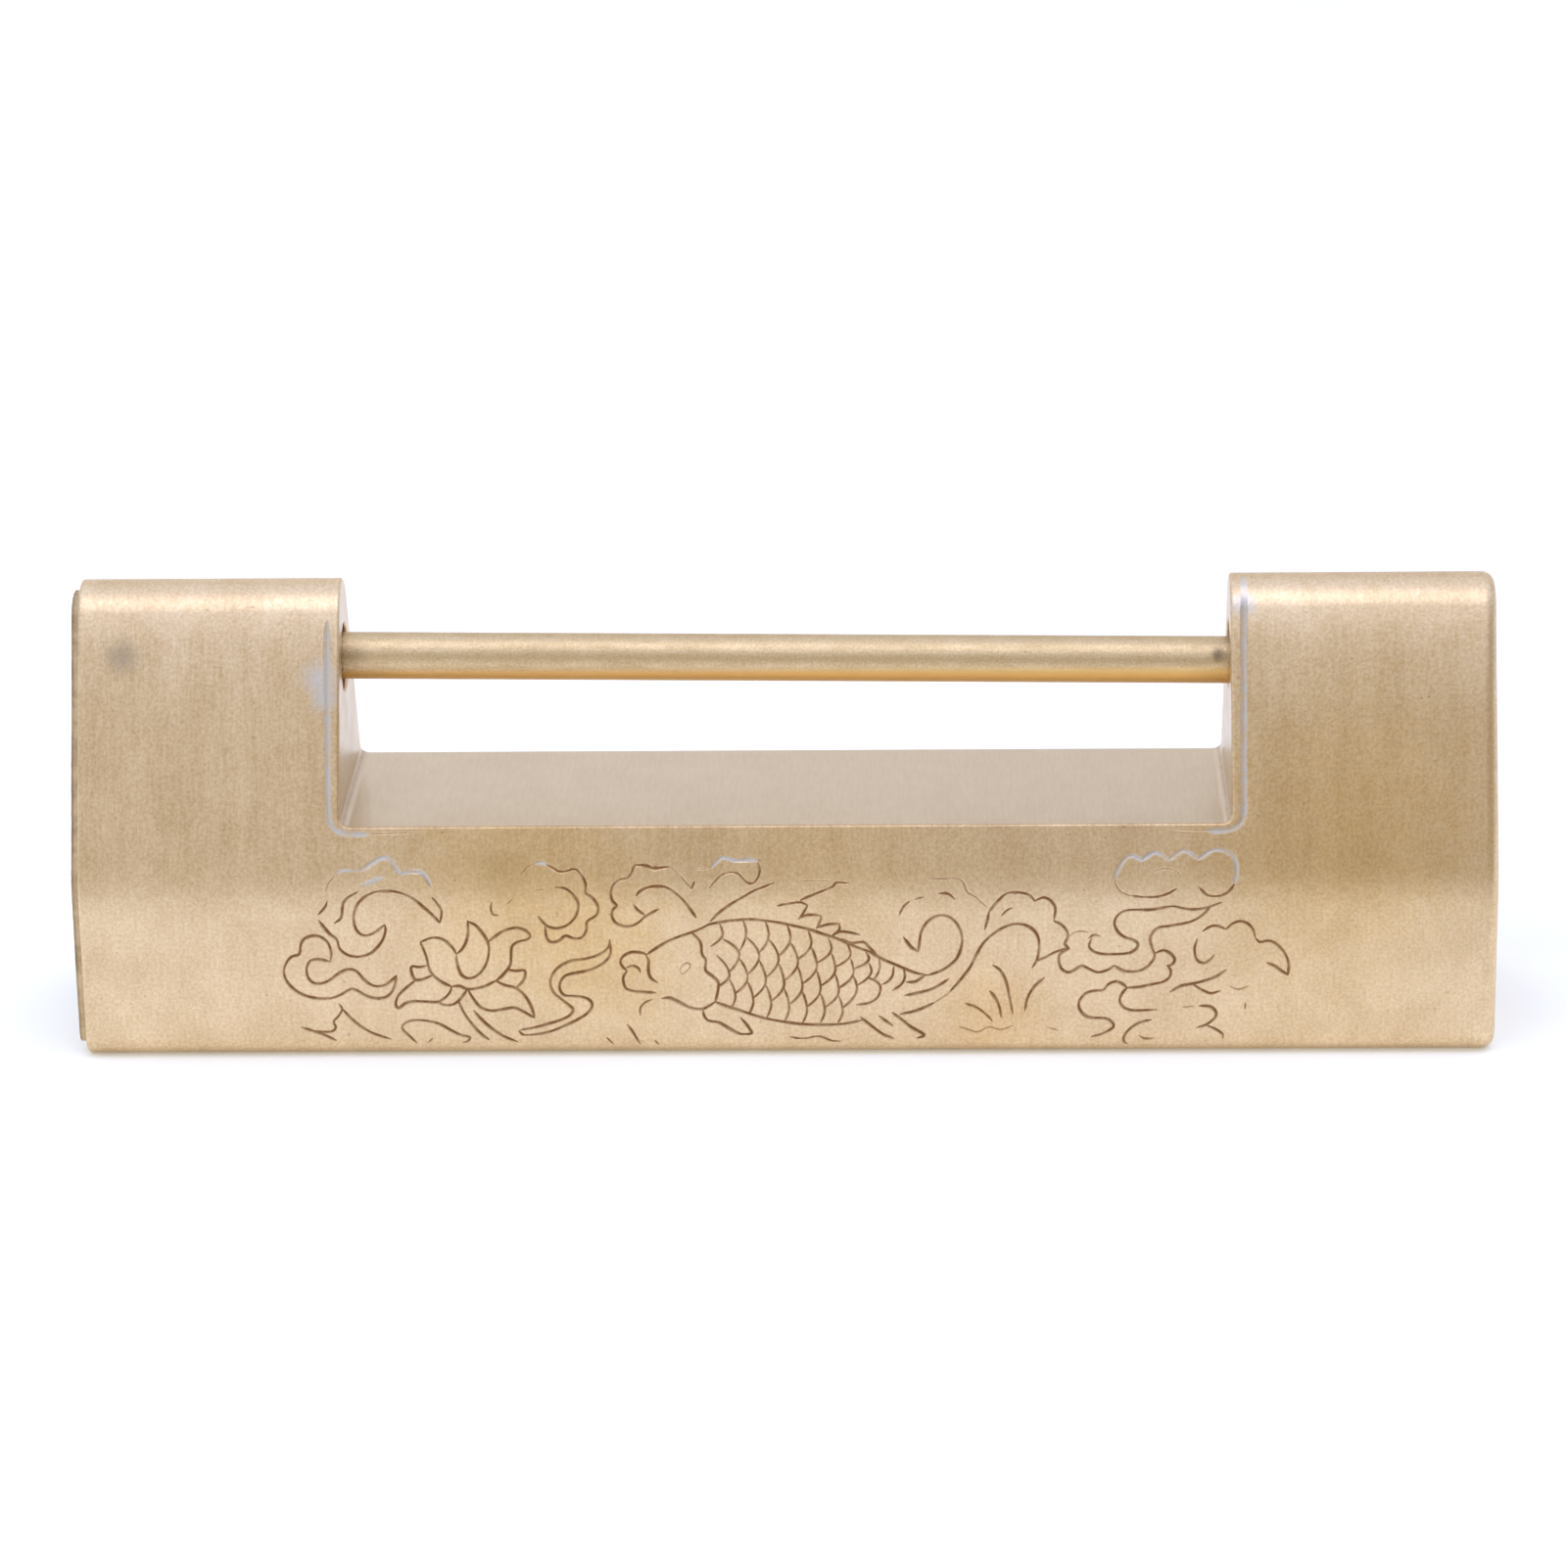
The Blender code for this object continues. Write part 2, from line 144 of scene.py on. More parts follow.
def fan_patch(hub: Array, rim: Array, normal: Array) -> Patch:
    """Triangles from one hub to each pair of neighbours on a rim, all facing one way.

    Args:
        hub: Place of the hub.
        rim: Places along the rim.
        normal: Outward normal of the whole fan.

    Returns:
        The patch.
    """
    points = np.concatenate([hub[None], rim])
    first = np.arange(1, len(rim))
    faces = np.stack([np.zeros_like(first), first, first + 1], axis=1)
    return make_patch(points, np.tile(normal, (len(points), 1)), faces)


def inside_loops(places: Array, loops: list[Array]) -> Array:
    """Even-odd test: a place is inside if a ray from it crosses the loops an odd number of times.

    Args:
        places: Pairs of coordinates.
        loops: Closed outlines as pairs of coordinates.

    Returns:
        True for each place that is inside.
    """
    crossings = np.zeros(len(places), dtype=int)
    for loop in loops:
        start, end = loop, np.roll(loop, -1, axis=0)
        rise = end[:, 1] - start[:, 1]
        spans = (start[None, :, 1] > places[:, None, 1]) != (end[None, :, 1] > places[:, None, 1])
        share = (places[:, None, 1] - start[None, :, 1]) / np.where(rise == 0, 1, rise)[None]
        reach = start[None, :, 0] + share * (end - start)[None, :, 0]
        crossings += np.sum(spans & (places[:, None, 0] < reach), axis=1)
    return crossings % 2 == 1


def flat_patch(loops: list[Array], x: float, facing: float) -> Patch:
    """A flat face across the lock, bounded by closed outlines of which the inner ones are holes.

    Args:
        loops: Outlines as pairs of y and z.
        x: Place of the face along the lock.
        facing: 1 if it faces along +X, -1 if along -X.

    Returns:
        The patch.
    """
    outline = np.concatenate(loops)
    first = np.cumsum([0] + [len(loop) for loop in loops])
    edges = []
    for start, loop in zip(first, loops):
        numbers = start + np.arange(len(loop))
        edges += np.stack([numbers, np.roll(numbers, -1)], axis=1).tolist()
    made = delaunay_2d_cdt([Vector(pair) for pair in outline.tolist()], edges, [], 0, CLOSE)
    flat = np.array([tuple(v) for v in made[0]])
    faces = np.array(made[2])
    faces = faces[inside_loops(flat[faces].mean(axis=1), loops)]
    points = np.column_stack([np.full(len(flat), x), flat])
    return make_patch(points, np.tile(facing * ALONG, (len(points), 1)), faces)


def unit(vectors: Array) -> Array:
    """Vectors scaled to length one along their last axis."""
    return vectors / np.maximum(np.linalg.norm(vectors, axis=-1, keepdims=True), 1e-12)


def chain(count: int) -> Array:
    """Pairs of neighbours in a row of so many points."""
    return np.stack([np.arange(count - 1), np.arange(1, count)], axis=1)


def on_front(x: Array | float, pairs: Array) -> Array:
    """Places or normals on the front, from x and pairs of outward y and z."""
    return np.column_stack([np.broadcast_to(x, len(pairs)), -pairs[:, 0], pairs[:, 1]])


def ease(values: Array, low: float, high: float) -> Array:
    """Smooth step from 0 at low to 1 at high."""
    t = np.clip((values - low) / (high - low), 0.0, 1.0)
    return t * t * (3 - 2 * t)


@dataclass(frozen=True)
class Shell:
    """Patches that meet along shared edges and together make the skin of one piece.

    Attributes:
        patches: The patches.
    """

    patches: list[Patch]

    def build(self, name: str, material: Material) -> Piece:
        """Join the patches, turn each triangle to face its normals and put whole arrays into a mesh.

        Args:
            name: Name of the piece.
            material: Its finish.

        Returns:
            The object, at the origin.
        """
        first = np.cumsum([0] + [len(patch.points) for patch in self.patches])
        points = np.concatenate([patch.points for patch in self.patches])
        marks = np.concatenate([patch.marks for patch in self.patches])
        faces = np.concatenate([patch.faces + start for patch, start in zip(self.patches, first)])
        corners = np.concatenate([patch.corners for patch in self.patches])
        keys = np.round(points / MERGE).astype(np.int64)
        _, kept, merged = np.unique(keys, axis=0, return_index=True, return_inverse=True)
        faces = merged.reshape(-1)[faces]
        real = (faces[:, 0] != faces[:, 1]) & (faces[:, 1] != faces[:, 2]) & (faces[:, 2] != faces[:, 0])
        faces, corners = faces[real], corners[real]
        points, marks = points[kept], marks[kept]
        a, b, c = (points[faces[:, corner]] for corner in range(3))
        turned = np.sum(np.cross(b - a, c - a) * corners.sum(axis=1), axis=1) < 0
        faces[turned] = faces[turned][:, ::-1]
        corners[turned] = corners[turned][:, ::-1]
        mesh = bpy.data.meshes.new(name)
        mesh.vertices.add(len(points))
        mesh.vertices.foreach_set("co", (points * MM).astype(np.float32).ravel())
        mesh.loops.add(faces.size)
        mesh.loops.foreach_set("vertex_index", faces.astype(np.int32).ravel())
        mesh.polygons.add(len(faces))
        mesh.polygons.foreach_set("loop_start", np.arange(0, faces.size, 3, dtype=np.int32))
        for label, values in zip(("engraved", "worn_line", "notch_dust_and_sheen"), marks.T):
            mesh.attributes.new(label, "FLOAT", "POINT").data.foreach_set("value", values.astype(np.float32))
        mesh.update(calc_edges=True)
        if mesh.validate():
            log.warning("%s: faces were repaired", name)
        if len(mesh.loops) == faces.size:
            mesh.normals_split_custom_set(unit(corners).reshape(-1, 3).tolist())
        mesh.materials.append(material)
        made = bpy.data.objects.new(name, mesh)
        bpy.context.scene.collection.objects.link(made)
        log.info("%s: %d triangles", name, len(faces))
        return made


@dataclass(frozen=True)
class Outline:
    """A closed outline across the lock, with its normals out of the metal.

    Attributes:
        places: Pairs of y and z.
        normals: Pairs of y and z, of length one.
    """

    places: Array
    normals: Array

    def drawn_in(self, inset: float) -> Array:
        """The outline moved into the metal by the inset."""
        return self.places - inset * self.normals


def rounded_rectangle(
    width: float,
    height: float,
    middle: float,
    radius: float,
    hole: bool = False,
) -> Outline:
    """Rectangle about y = 0 with quarter circles at its corners.

    Args:
        width: Size along Y.
        height: Size along Z.
        middle: Height of its centre.
        radius: Radius of the corners.
        hole: Whether the metal lies outside it.

    Returns:
        The outline.
    """
    corner = np.linspace(0, QUARTER, CORNER_POINTS)
    turns = (corner[None] + QUARTER * np.arange(4)[:, None]).ravel()
    out = np.stack([np.cos(turns), np.sin(turns)], axis=1)
    reach = np.repeat([[1, 1], [-1, 1], [-1, -1], [1, -1]], CORNER_POINTS, axis=0)
    centres = reach * [width / 2 - radius, height / 2 - radius] + [0, middle]
    return Outline(centres + radius * out, -out if hole else out)


def circle_outline(radius: float, centre: Pair, sides: int, hole: bool = False) -> Outline:
    """Circle across the lock.

    Args:
        radius: Its radius.
        centre: Its y and z.
        sides: Number of points.
        hole: Whether the metal lies outside it.

    Returns:
        The outline.
    """
    turns = np.linspace(0, 2 * math.pi, sides, endpoint=False)
    out = np.stack([np.cos(turns), np.sin(turns)], axis=1)
    return Outline(np.array(centre) + radius * out, -out if hole else out)


def placed(x: Array | list[float], flats: Array) -> Array:
    """Rings of pairs, with the value of each ring put before its pairs."""
    before = np.asarray(x, dtype=float)[:, None, None]
    return np.concatenate([np.broadcast_to(before, flats.shape[:2] + (1,)), flats], axis=2)


def drawn_across(points: Array, share: Array) -> Array:
    """Points repeated along Y, at shares of their distance from the middle."""
    return points[:, None] * np.column_stack([np.ones_like(share), share, np.ones_like(share)])


def carried_patch(
    flats: Array,
    normals: Array,
    x: Array | list[float],
    along: Array | float,
    keep: Array | None = None,
) -> Patch:
    """Skin through closed outlines that stand one after the other along the lock.

    Args:
        flats: Pairs of y and z, as stations by points by two.
        normals: Pairs of y and z of the outlines' normals, of length one.
        x: Place of each station.
        along: Part of the normal that points along the lock, at each station or at all.
        keep: Which cells are made, all if left out.

    Returns:
        The patch.
    """
    along = np.broadcast_to(along, (len(x),))
    across = np.sqrt(1 - along**2)[:, None, None] * np.broadcast_to(normals, flats.shape)
    return grid_patch(placed(x, flats), placed(along, across), closed=True, keep=keep)


def wall_patch(outline: Outline, start: float, end: float, edge: float, steps: int = 4) -> Patch:
    """Wall that carries an outline along the lock, its two edges rounded by quarter circles.

    Args:
        outline: What is carried.
        start: Place of one end.
        end: Place of the other.
        edge: Radius of the edges.
        steps: Steps in a quarter circle.

    Returns:
        The patch.
    """
    quarter = np.linspace(0, QUARTER, steps + 1)
    turn = np.concatenate([quarter, quarter[::-1]])
    side = np.repeat([-1.0, 1.0], steps + 1)
    x = np.repeat([start, end], steps + 1) - side * edge * (1 - np.cos(turn))
    inset = edge * (1 - np.sin(turn))
    flats = outline.places[None] - inset[:, None, None] * outline.normals[None]
    return carried_patch(flats, outline.normals, x, side * np.cos(turn))


def plate_patches(
    outer: Outline,
    holes: list[Outline],
    start: float,
    end: float,
    edge: float,
) -> list[Patch]:
    """A plate across the lock with rounded edges all round it and at its holes.

    Args:
        outer: Its outline.
        holes: Outlines of its holes.
        start: Place of the face towards -X.
        end: Place of the face towards +X.
        edge: Radius of its edges.

    Returns:
        Its patches.
    """
    loops = [outline.drawn_in(edge) for outline in [outer, *holes]]
    walls = [wall_patch(outline, start, end, edge) for outline in [outer, *holes]]
    return walls + [flat_patch(loops, start, -1.0), flat_patch(loops, end, 1.0)]


def turned_patches(runs: list[Array], sides: int, frame: Array) -> list[Patch]:
    """Surface of revolution: each run of (along, radius) pairs turns about the first axis of the frame.

    Args:
        runs: Smooth runs of the profile, from the start to the end of the axis.
        sides: Steps round the axis.
        frame: Four by four placement of the axis.

    Returns:
        One patch for each run.
    """
    turns = np.linspace(0, 2 * math.pi, sides, endpoint=False)
    ring = np.stack([np.zeros(sides), np.cos(turns), np.sin(turns)], axis=1)
    patches = []
    for run in runs:
        slope = unit(np.gradient(run, axis=0))
        points = run[:, None, :1] * ALONG + run[:, None, 1:] * ring[None]
        normals = -slope[:, None, 1:] * ALONG + slope[:, None, :1] * ring[None]
        points = points @ frame[:3, :3].T + frame[:3, 3]
        patches.append(grid_patch(points, normals @ frame[:3, :3].T, closed=True))
    return patches


def swept_patches(rings: Array) -> list[Patch]:
    """Skin through closed rings, with a flat cap on each end.

    Args:
        rings: Places, as stations by points by three, turning the same way.

    Returns:
        The side and the two caps.
    """
    along = np.gradient(rings, axis=0)
    around = np.roll(rings, -1, axis=1) - np.roll(rings, 1, axis=1)
    middle = rings.mean(axis=1, keepdims=True)
    normals = unit(np.cross(along, around))
    outward = np.sign(np.sum(normals * (rings - middle), axis=2).mean())
    heading = unit((middle[1:] - middle[:-1])[:, 0])
    ends = ((rings[0], -heading[0]), (rings[-1], heading[-1]))
    caps = [fan_patch(ring.mean(axis=0), np.concatenate([ring, ring[:1]]), facing) for ring, facing in ends]
    return [grid_patch(rings, normals * outward, closed=True), *caps]


# Engraving


class Cut(Enum):
    """Kinds of graver line: half width, depth, darkness and greyness."""

    DEEP = (0.135, 0.07, 1.0, 0.0)
    FINE = (0.125, 0.055, 0.9, 0.0)
    FAINT = (0.09, 0.025, 0.5, 0.0)
    WORN = (0.2, 0.025, 0.1, 1.0)
    SEAM = (0.25, 0.02, 0.0, 1.0)

    def __init__(self, half_width: float, depth: float, dark: float, grey: float) -> None:
        """Take the numbers of a kind of line.

        Args:
            half_width: Half its width at the surface.
            depth: Its depth at the middle.
            dark: How dark it is.
            grey: How grey it is.
        """
        self.half_width = half_width
        self.depth = depth
        self.marks = (dark, grey)


@dataclass(frozen=True)
class Stroke:
    """One line of the graver on the front.

    Attributes:
        cut: How it was cut.
        path: Points as pairs of x along the lock and s up over the front, parted by spaces.
    """

    cut: Cut
    path: str

    def points(self, steps: int) -> Array:
        """Smooth line through the points: a Catmull-Rom spline.

        Args:
            steps: Steps from each point to the next.

        Returns:
            Pairs of x and s.
        """
        given = np.array([pair.split(",") for pair in self.path.split()], dtype=float)
        padded = np.concatenate([2 * given[:1] - given[1:2], given, 2 * given[-1:] - given[-2:-1]])
        t = np.linspace(0, 1, steps, endpoint=False)[None, :, None]
        a, b, c, d = (padded[k:len(padded) - 3 + k, None] for k in range(4))
        line = 2 * b + (c - a) * t + (2 * a - 5 * b + 4 * c - d) * t**2
        line = 0.5 * (line + (3 * b - a - 3 * c + d) * t**3)
        return np.concatenate([line.reshape(-1, 2), given[-1:]])


def strokes_of(motif: str) -> list[Stroke]:
    """Read a motif, in which each stroke is the name of its cut and then its points."""
    return [Stroke(Cut[name], path) for name, path in re.findall("([A-Z]+)([^A-Z]+)", motif)]


LEFT_CLOUD = """
FINE -29.3,9.8 -28.85,10.3 -28.7,10.7
FAINT -28.8,11.3 -28.6,11.8 -28.2,12.3
WORN -28.1,12.5 -27.6,12.7 -26.8,12.56 -26.2,12.87 -25.5,13.3 -25,13.45 -24.6,13.2 -24.3,12.7 -24,12.4
WORN -24,12.4 -23.5,12.55 -22.95,12.58 -22.5,12.3 -22.1,11.6
DEEP -22.07,10.9 -21.75,10.5 -21.5,10 -21.6,9.25
DEEP -21.65,9.2 -21.95,9.6 -22.6,10.25 -23.3,10.85 -24.1,11.2 -24.9,11.35 -25.7,11.25 -26.4,10.9
  -26.9,10.3 -27.08,9.5 -26.95,8.8 -26.6,8.42 -26.2,8.38 -25.7,8.62 -25.15,9.08
DEEP -25.1,9.05 -25.1,8.65 -25.3,8.05 -25.75,7.45 -26.3,7.05 -27,6.92 -27.6,7.08 -28.05,7.5 -28.2,8.12
  -28.62,8.48 -28.98,8.95 -29.3,9.4
DEEP -28.3,9.2 -27.85,9.6 -27.72,10.5 -27.4,10.9 -26.75,11.28
WORN -26.6,11.7 -25.85,11.95 -25.1,12.2
"""
LEFT_LOBE = """
DEEP -28.68,6.6 -29.4,6.76 -29.95,6.64 -30.2,6.1 -30.1,5.5 -29.75,5.15 -29.3,5.12 -28.75,5.35
  -28.1,5.85 -27.5,6.08 -27,5.92 -26.55,5.35 -26,4.96 -25.4,4.95 -24.9,5.25 -24.5,5.65
DEEP -24.5,5.6 -24.7,4.8 -25.1,4.25 -25.7,4.08 -26.4,4.25 -27.05,4.65 -27.45,4.73 -28.1,4.35 -28.8,4.1
  -29.8,4.14 -30.7,4.48 -31.4,5.15 -31.64,5.85 -31.48,6.5 -31.1,6.95 -30.62,7.12 -30.5,7.75
  -30.2,8.2 -29.6,8.37 -29.1,8.22 -28.75,7.85 -28.58,7.2 -28.65,6.65
FINE -30.7,2.15 -29.9,1.87 -29.2,1.6 -28.5,1.22
FINE -29.9,1.87 -28.85,1.82 -28.5,2.12 -28.62,2.52 -28.25,2.95 -28.05,3.4 -28.25,3.75
FINE -28.05,3.4 -27.4,2.65 -26.75,2.1 -26.1,1.7 -25,1.3
"""
LOW_LEAF = """
FINE -23.4,1.02 -23.85,1.55 -24.27,2.05 -24.05,2.42 -23.4,2.6 -22.65,2.55 -21.9,2.35 -21.2,1.93
  -20.55,1.58 -20,1.44 -20.1,1.12 -20.45,1
FINE -22.65,1.02 -22.35,1.36
"""
LOTUS = """
DEEP -22.92,7.9 -22.1,8.2 -21.4,8.05 -20.9,7.55 -20.65,7.08
DEEP -22.92,7.9 -22.7,7.35 -22.52,6.7 -22.45,6.2 -22.2,5.7 -21.6,5.17 -21.03,4.88
DEEP -20.65,7.08 -20.3,7.4 -20,7.95 -19.87,8.6 -19.87,9.35
DEEP -19.87,9.3 -19.35,9 -18.9,8.42 -18.62,7.8 -18.6,7.15 -18.8,6.4 -19.2,5.78 -19.8,5.43 -20.3,5.6
  -20.55,6.1 -20.66,6.7 -20.65,7.08
DEEP -18.62,7.9 -18.1,8.32 -17.55,8.67 -16.85,8.84 -16.3,8.7 -15.95,8.35 -16.15,8.05 -16.75,7.9
  -17.13,7.55 -17.2,6.9 -17.28,6.3 -17.8,5.6 -18.2,5.27
DEEP -21.03,4.88 -20.5,4.9 -20.05,4.7 -19.5,4.74 -18.9,4.9 -18.2,5.27
DEEP -22.6,6.3 -23.05,6.2 -23.5,6.26 -23.55,5.9 -23.32,5.35 -22.8,5.4 -22.25,5.65
DEEP -23.32,5.3 -23.95,4.78 -24.45,4.25 -24.62,3.7 -24.44,3.42 -24,3.75 -23.4,3.88 -22.65,3.85
  -21.95,3.83 -21.5,4.1 -21.15,4.5 -21.03,4.88
DEEP -21.95,3.83 -21.5,3.62 -21,3.65 -20.63,3.9 -20.3,4.3 -20.02,4.7
DEEP -20.63,3.88 -20.28,3.05 -19.75,2.25 -19.25,1.65 -18.75,1.22
DEEP -19.68,3.25 -19.2,2.65 -18.6,2.05 -17.85,1.5 -16.95,1.05
DEEP -20.02,4.7 -19.65,4 -19.2,3.45 -18.55,3.22 -17.9,3.3 -17.1,3.42 -16.5,3.15 -15.85,2.72
DEEP -18.2,5.25 -17.65,4.96 -16.95,4.77 -16.4,4.25 -16,3.45 -15.83,2.75
DEEP -17.45,6.02 -16.9,5.92 -16.37,5.95 -16.37,5.5 -16.6,5.1 -16.95,4.77
FINE -18.3,10.6 -18.38,10.15 -18.25,9.77 -17.9,9.68
FAINT -17.35,10.45 -17,10.75
"""
MIDDLE_CLOUD = """
FAINT -16.45,12.35 -15.95,12.85 -15.5,13.02
WORN -15.5,13.02 -15.2,13.05 -14.8,12.98
DEEP -14.8,12.95 -14.35,12.7 -14,12.5 -13.5,12.55 -13.05,12.68 -12.65,12.32 -12.36,11.75 -12.36,11.15
  -11.95,10.85 -11.62,10.3 -11.72,9.68 -12.33,9.25 -12.38,8.7 -12.68,8.18 -13.15,8.1 -13.72,8.3
  -14.12,7.97 -14.6,7.86 -14.9,8.15 -15,8.9
DEEP -14.3,11.5 -13.75,11.47 -13.25,11.15 -12.9,10.65 -12.86,10.15 -13.1,9.5 -13.6,9 -14.2,8.8
  -14.7,8.88 -15.05,9.15 -15.4,9.6
FAINT -15.5,11.36 -14.9,11.42
FAINT -16.6,11 -16.2,11.15
"""
RIBBON_CURL = """
DEEP -10.94,8 -11,7.55 -11.4,7.15 -11.95,6.87 -12.65,6.7 -13.4,6.6 -14.1,6.25 -14.57,5.75 -14.77,5.1
  -14.57,4.47 -14.08,4 -13.53,3.52 -13.35,3.25 -13.6,2.88 -14.15,2.58 -15,2.3 -15.9,2.05 -16.75,1.9
DEEP -10.94,8 -10.88,7.2 -11.1,6.7 -11.65,6.25 -12.4,5.92 -13.15,5.77 -13.8,5.58 -14.12,5.15
  -14.17,4.68 -13.9,4.27 -13.3,4.2 -12.7,4.13 -12.27,3.9 -12.15,3.5 -12.5,3 -13.1,2.6 -13.87,2.2
  -14.75,1.82 -15.65,1.6 -16.5,1.53 -16.85,1.85
FINE -11.27,1.35 -10.84,0.8
FINE -9.94,2.25 -9.55,1.65 -9.15,0.8
FINE -8.2,1.12 -8,0.75
"""
HEAD_CLOUD = """
FAINT -5.69,11.4 -5.95,11.7 -6.3,12.13 -6.75,12.55 -7.05,12.78
DEEP -7.05,12.78 -7.55,12.74 -8.05,12.66 -8.4,12.83 -8.9,12.91 -9.28,12.86 -9.48,12.4 -9.75,12.08
  -10.25,11.98 -10.63,11.63 -10.78,11.15 -10.7,10.65 -10.44,10.33 -10.7,10 -10.75,9.6 -10.54,9.2
  -10.1,8.95 -9.6,8.92 -9.1,9.15 -8.6,9.6 -7.8,10.06
FINE -5.69,11.4 -5.5,11.85
DEEP -9.2,10.95 -8.92,11.27 -8.4,11.5 -7.8,11.58 -7.25,11.46 -6.7,11.1 -6.2,10.63 -5.84,10.13
  -5.44,9.48
FINE -9.4,10.42 -9.15,10.07 -8.68,9.68
FINE -4.57,11.42 -4.18,11.9 -3.74,12.28 -3.2,12.44 -2.75,12.32 -2.38,11.95 -2.1,11.7 -1.8,11.74
  -1.5,12.1 -1.38,12.6 -1.5,13
FAINT -5.4,12.6 -4.5,12.66
WORN -4.4,12.75 -4.1,13.1 -3.66,13.35 -2.75,13.1 -2.05,13.22 -1.55,13.1
"""
CARP = """
DEEP -8.6,7 -8,7.43 -7.27,7.88 -6.5,8.22 -5.75,8.48 -5.1,8.76 -4.62,9.02 -3.85,9.17 -3.1,9.28 -2,9.35
  -1,9.24 -0.1,9.1 0.9,8.86 1.77,8.63 2.5,8.36 3.38,8.05 4.12,7.7 4.86,7.36 5.48,7.13 6,6.8 6.6,6.48
  7.22,6.2 7.84,5.9 8.5,5.65 9.15,5.53
DEEP -4.55,9.22 -4,9.8 -3.2,10.4 -2.45,10.85 -1.7,11.27 -0.5,11.72
DEEP -8.6,7 -8.95,7.12 -9.52,7.17 -10.03,6.95 -10.28,6.6 -10.2,6.25 -9.88,5.9
FINE -9.92,6.12 -9.5,6.25 -9.15,6.08 -9.03,5.78
DEEP -9.88,5.9 -10.12,5.5 -10.12,5.1 -9.95,4.7 -9.45,4.52 -8.7,4.45 -8.1,4.4
DEEP -8.65,6.95 -8.5,6.55 -8.53,5.9 -8.37,5.4 -7.95,5.08
FAINT -6.55,5.85 -6.4,6.22 -6.1,6.44 -5.86,6.3 -6.02,5.95 -6.35,5.68 -6.55,5.85
FINE -8.34,3.95 -8.8,3.74 -9.1,3.35 -9.1,2.88
DEEP -7.72,4.02 -7.2,4.05 -6.6,3.76 -5.88,3.38 -5.2,3.28 -4.75,3.48 -4.33,3.78
DEEP -5.75,8.45 -5.33,8.08 -5.15,7.6 -5.12,7.02 -4.87,6.6 -4.92,5.95 -4.5,5.55 -4.13,5.13 -4.15,4.55
  -4.33,3.78
DEEP -5.12,3.22 -5.06,2.82 -4.75,2.48 -4.15,2.38 -3.65,2.08 -3.2,1.8 -2.75,1.56 -2.35,1.53 -2.05,1.64
  -2.32,2.15 -2.75,2.7
DEEP -4.33,3.78 -3.65,3.5 -2.55,3.1 -1.42,2.7 -0.2,2.43 1.05,2.24 2.4,2.18 3.8,2.24 4.95,2.48
DEEP -0.3,10.26 0.4,10.38 1.15,10.48 1.6,10.27
DEEP 1.6,10.27 1.34,9.8 1.03,9.36
DEEP 1.03,9.36 1.4,9.58 1.9,9.63 2.46,9.57
DEEP 2.46,9.57 2.37,9.2 2.15,8.72
DEEP 2.15,8.76 2.85,8.98 3.58,9.03
DEEP 3.58,9.03 3.57,8.62 3.1,8.17
DEEP 3.1,8.25 3.6,8.48 4.15,8.45 4.85,8.28
DEEP 1.15,10.62 2.15,11.05 3.15,11.46 3.42,11.74 4.22,11.7
DEEP 3.7,8 4.3,7.72 5.1,7.78 5.5,7.38 5.95,6.9
FAINT 1.2,11.85 2.2,11.87 3.1,11.84
DEEP 7.62,5.9 7.68,5.4 7.45,4.9 6.9,4.5
DEEP 7.8,5.07 8.3,5.08 8.72,5.35 8.98,5.53
DEEP 4.87,2.7 5.55,2.1 6.28,1.52 6.95,1.22
DEEP 6.05,2.77 6.9,2.1
DEEP 6.87,3 7.43,2.57 8.04,2.03 8.9,1.46 8.4,1.24
FINE 0.38,1.37 0.9,1.22 1.5,1.25 2.05,1.43 2.55,1.28 3.05,1.04 3.65,1
"""
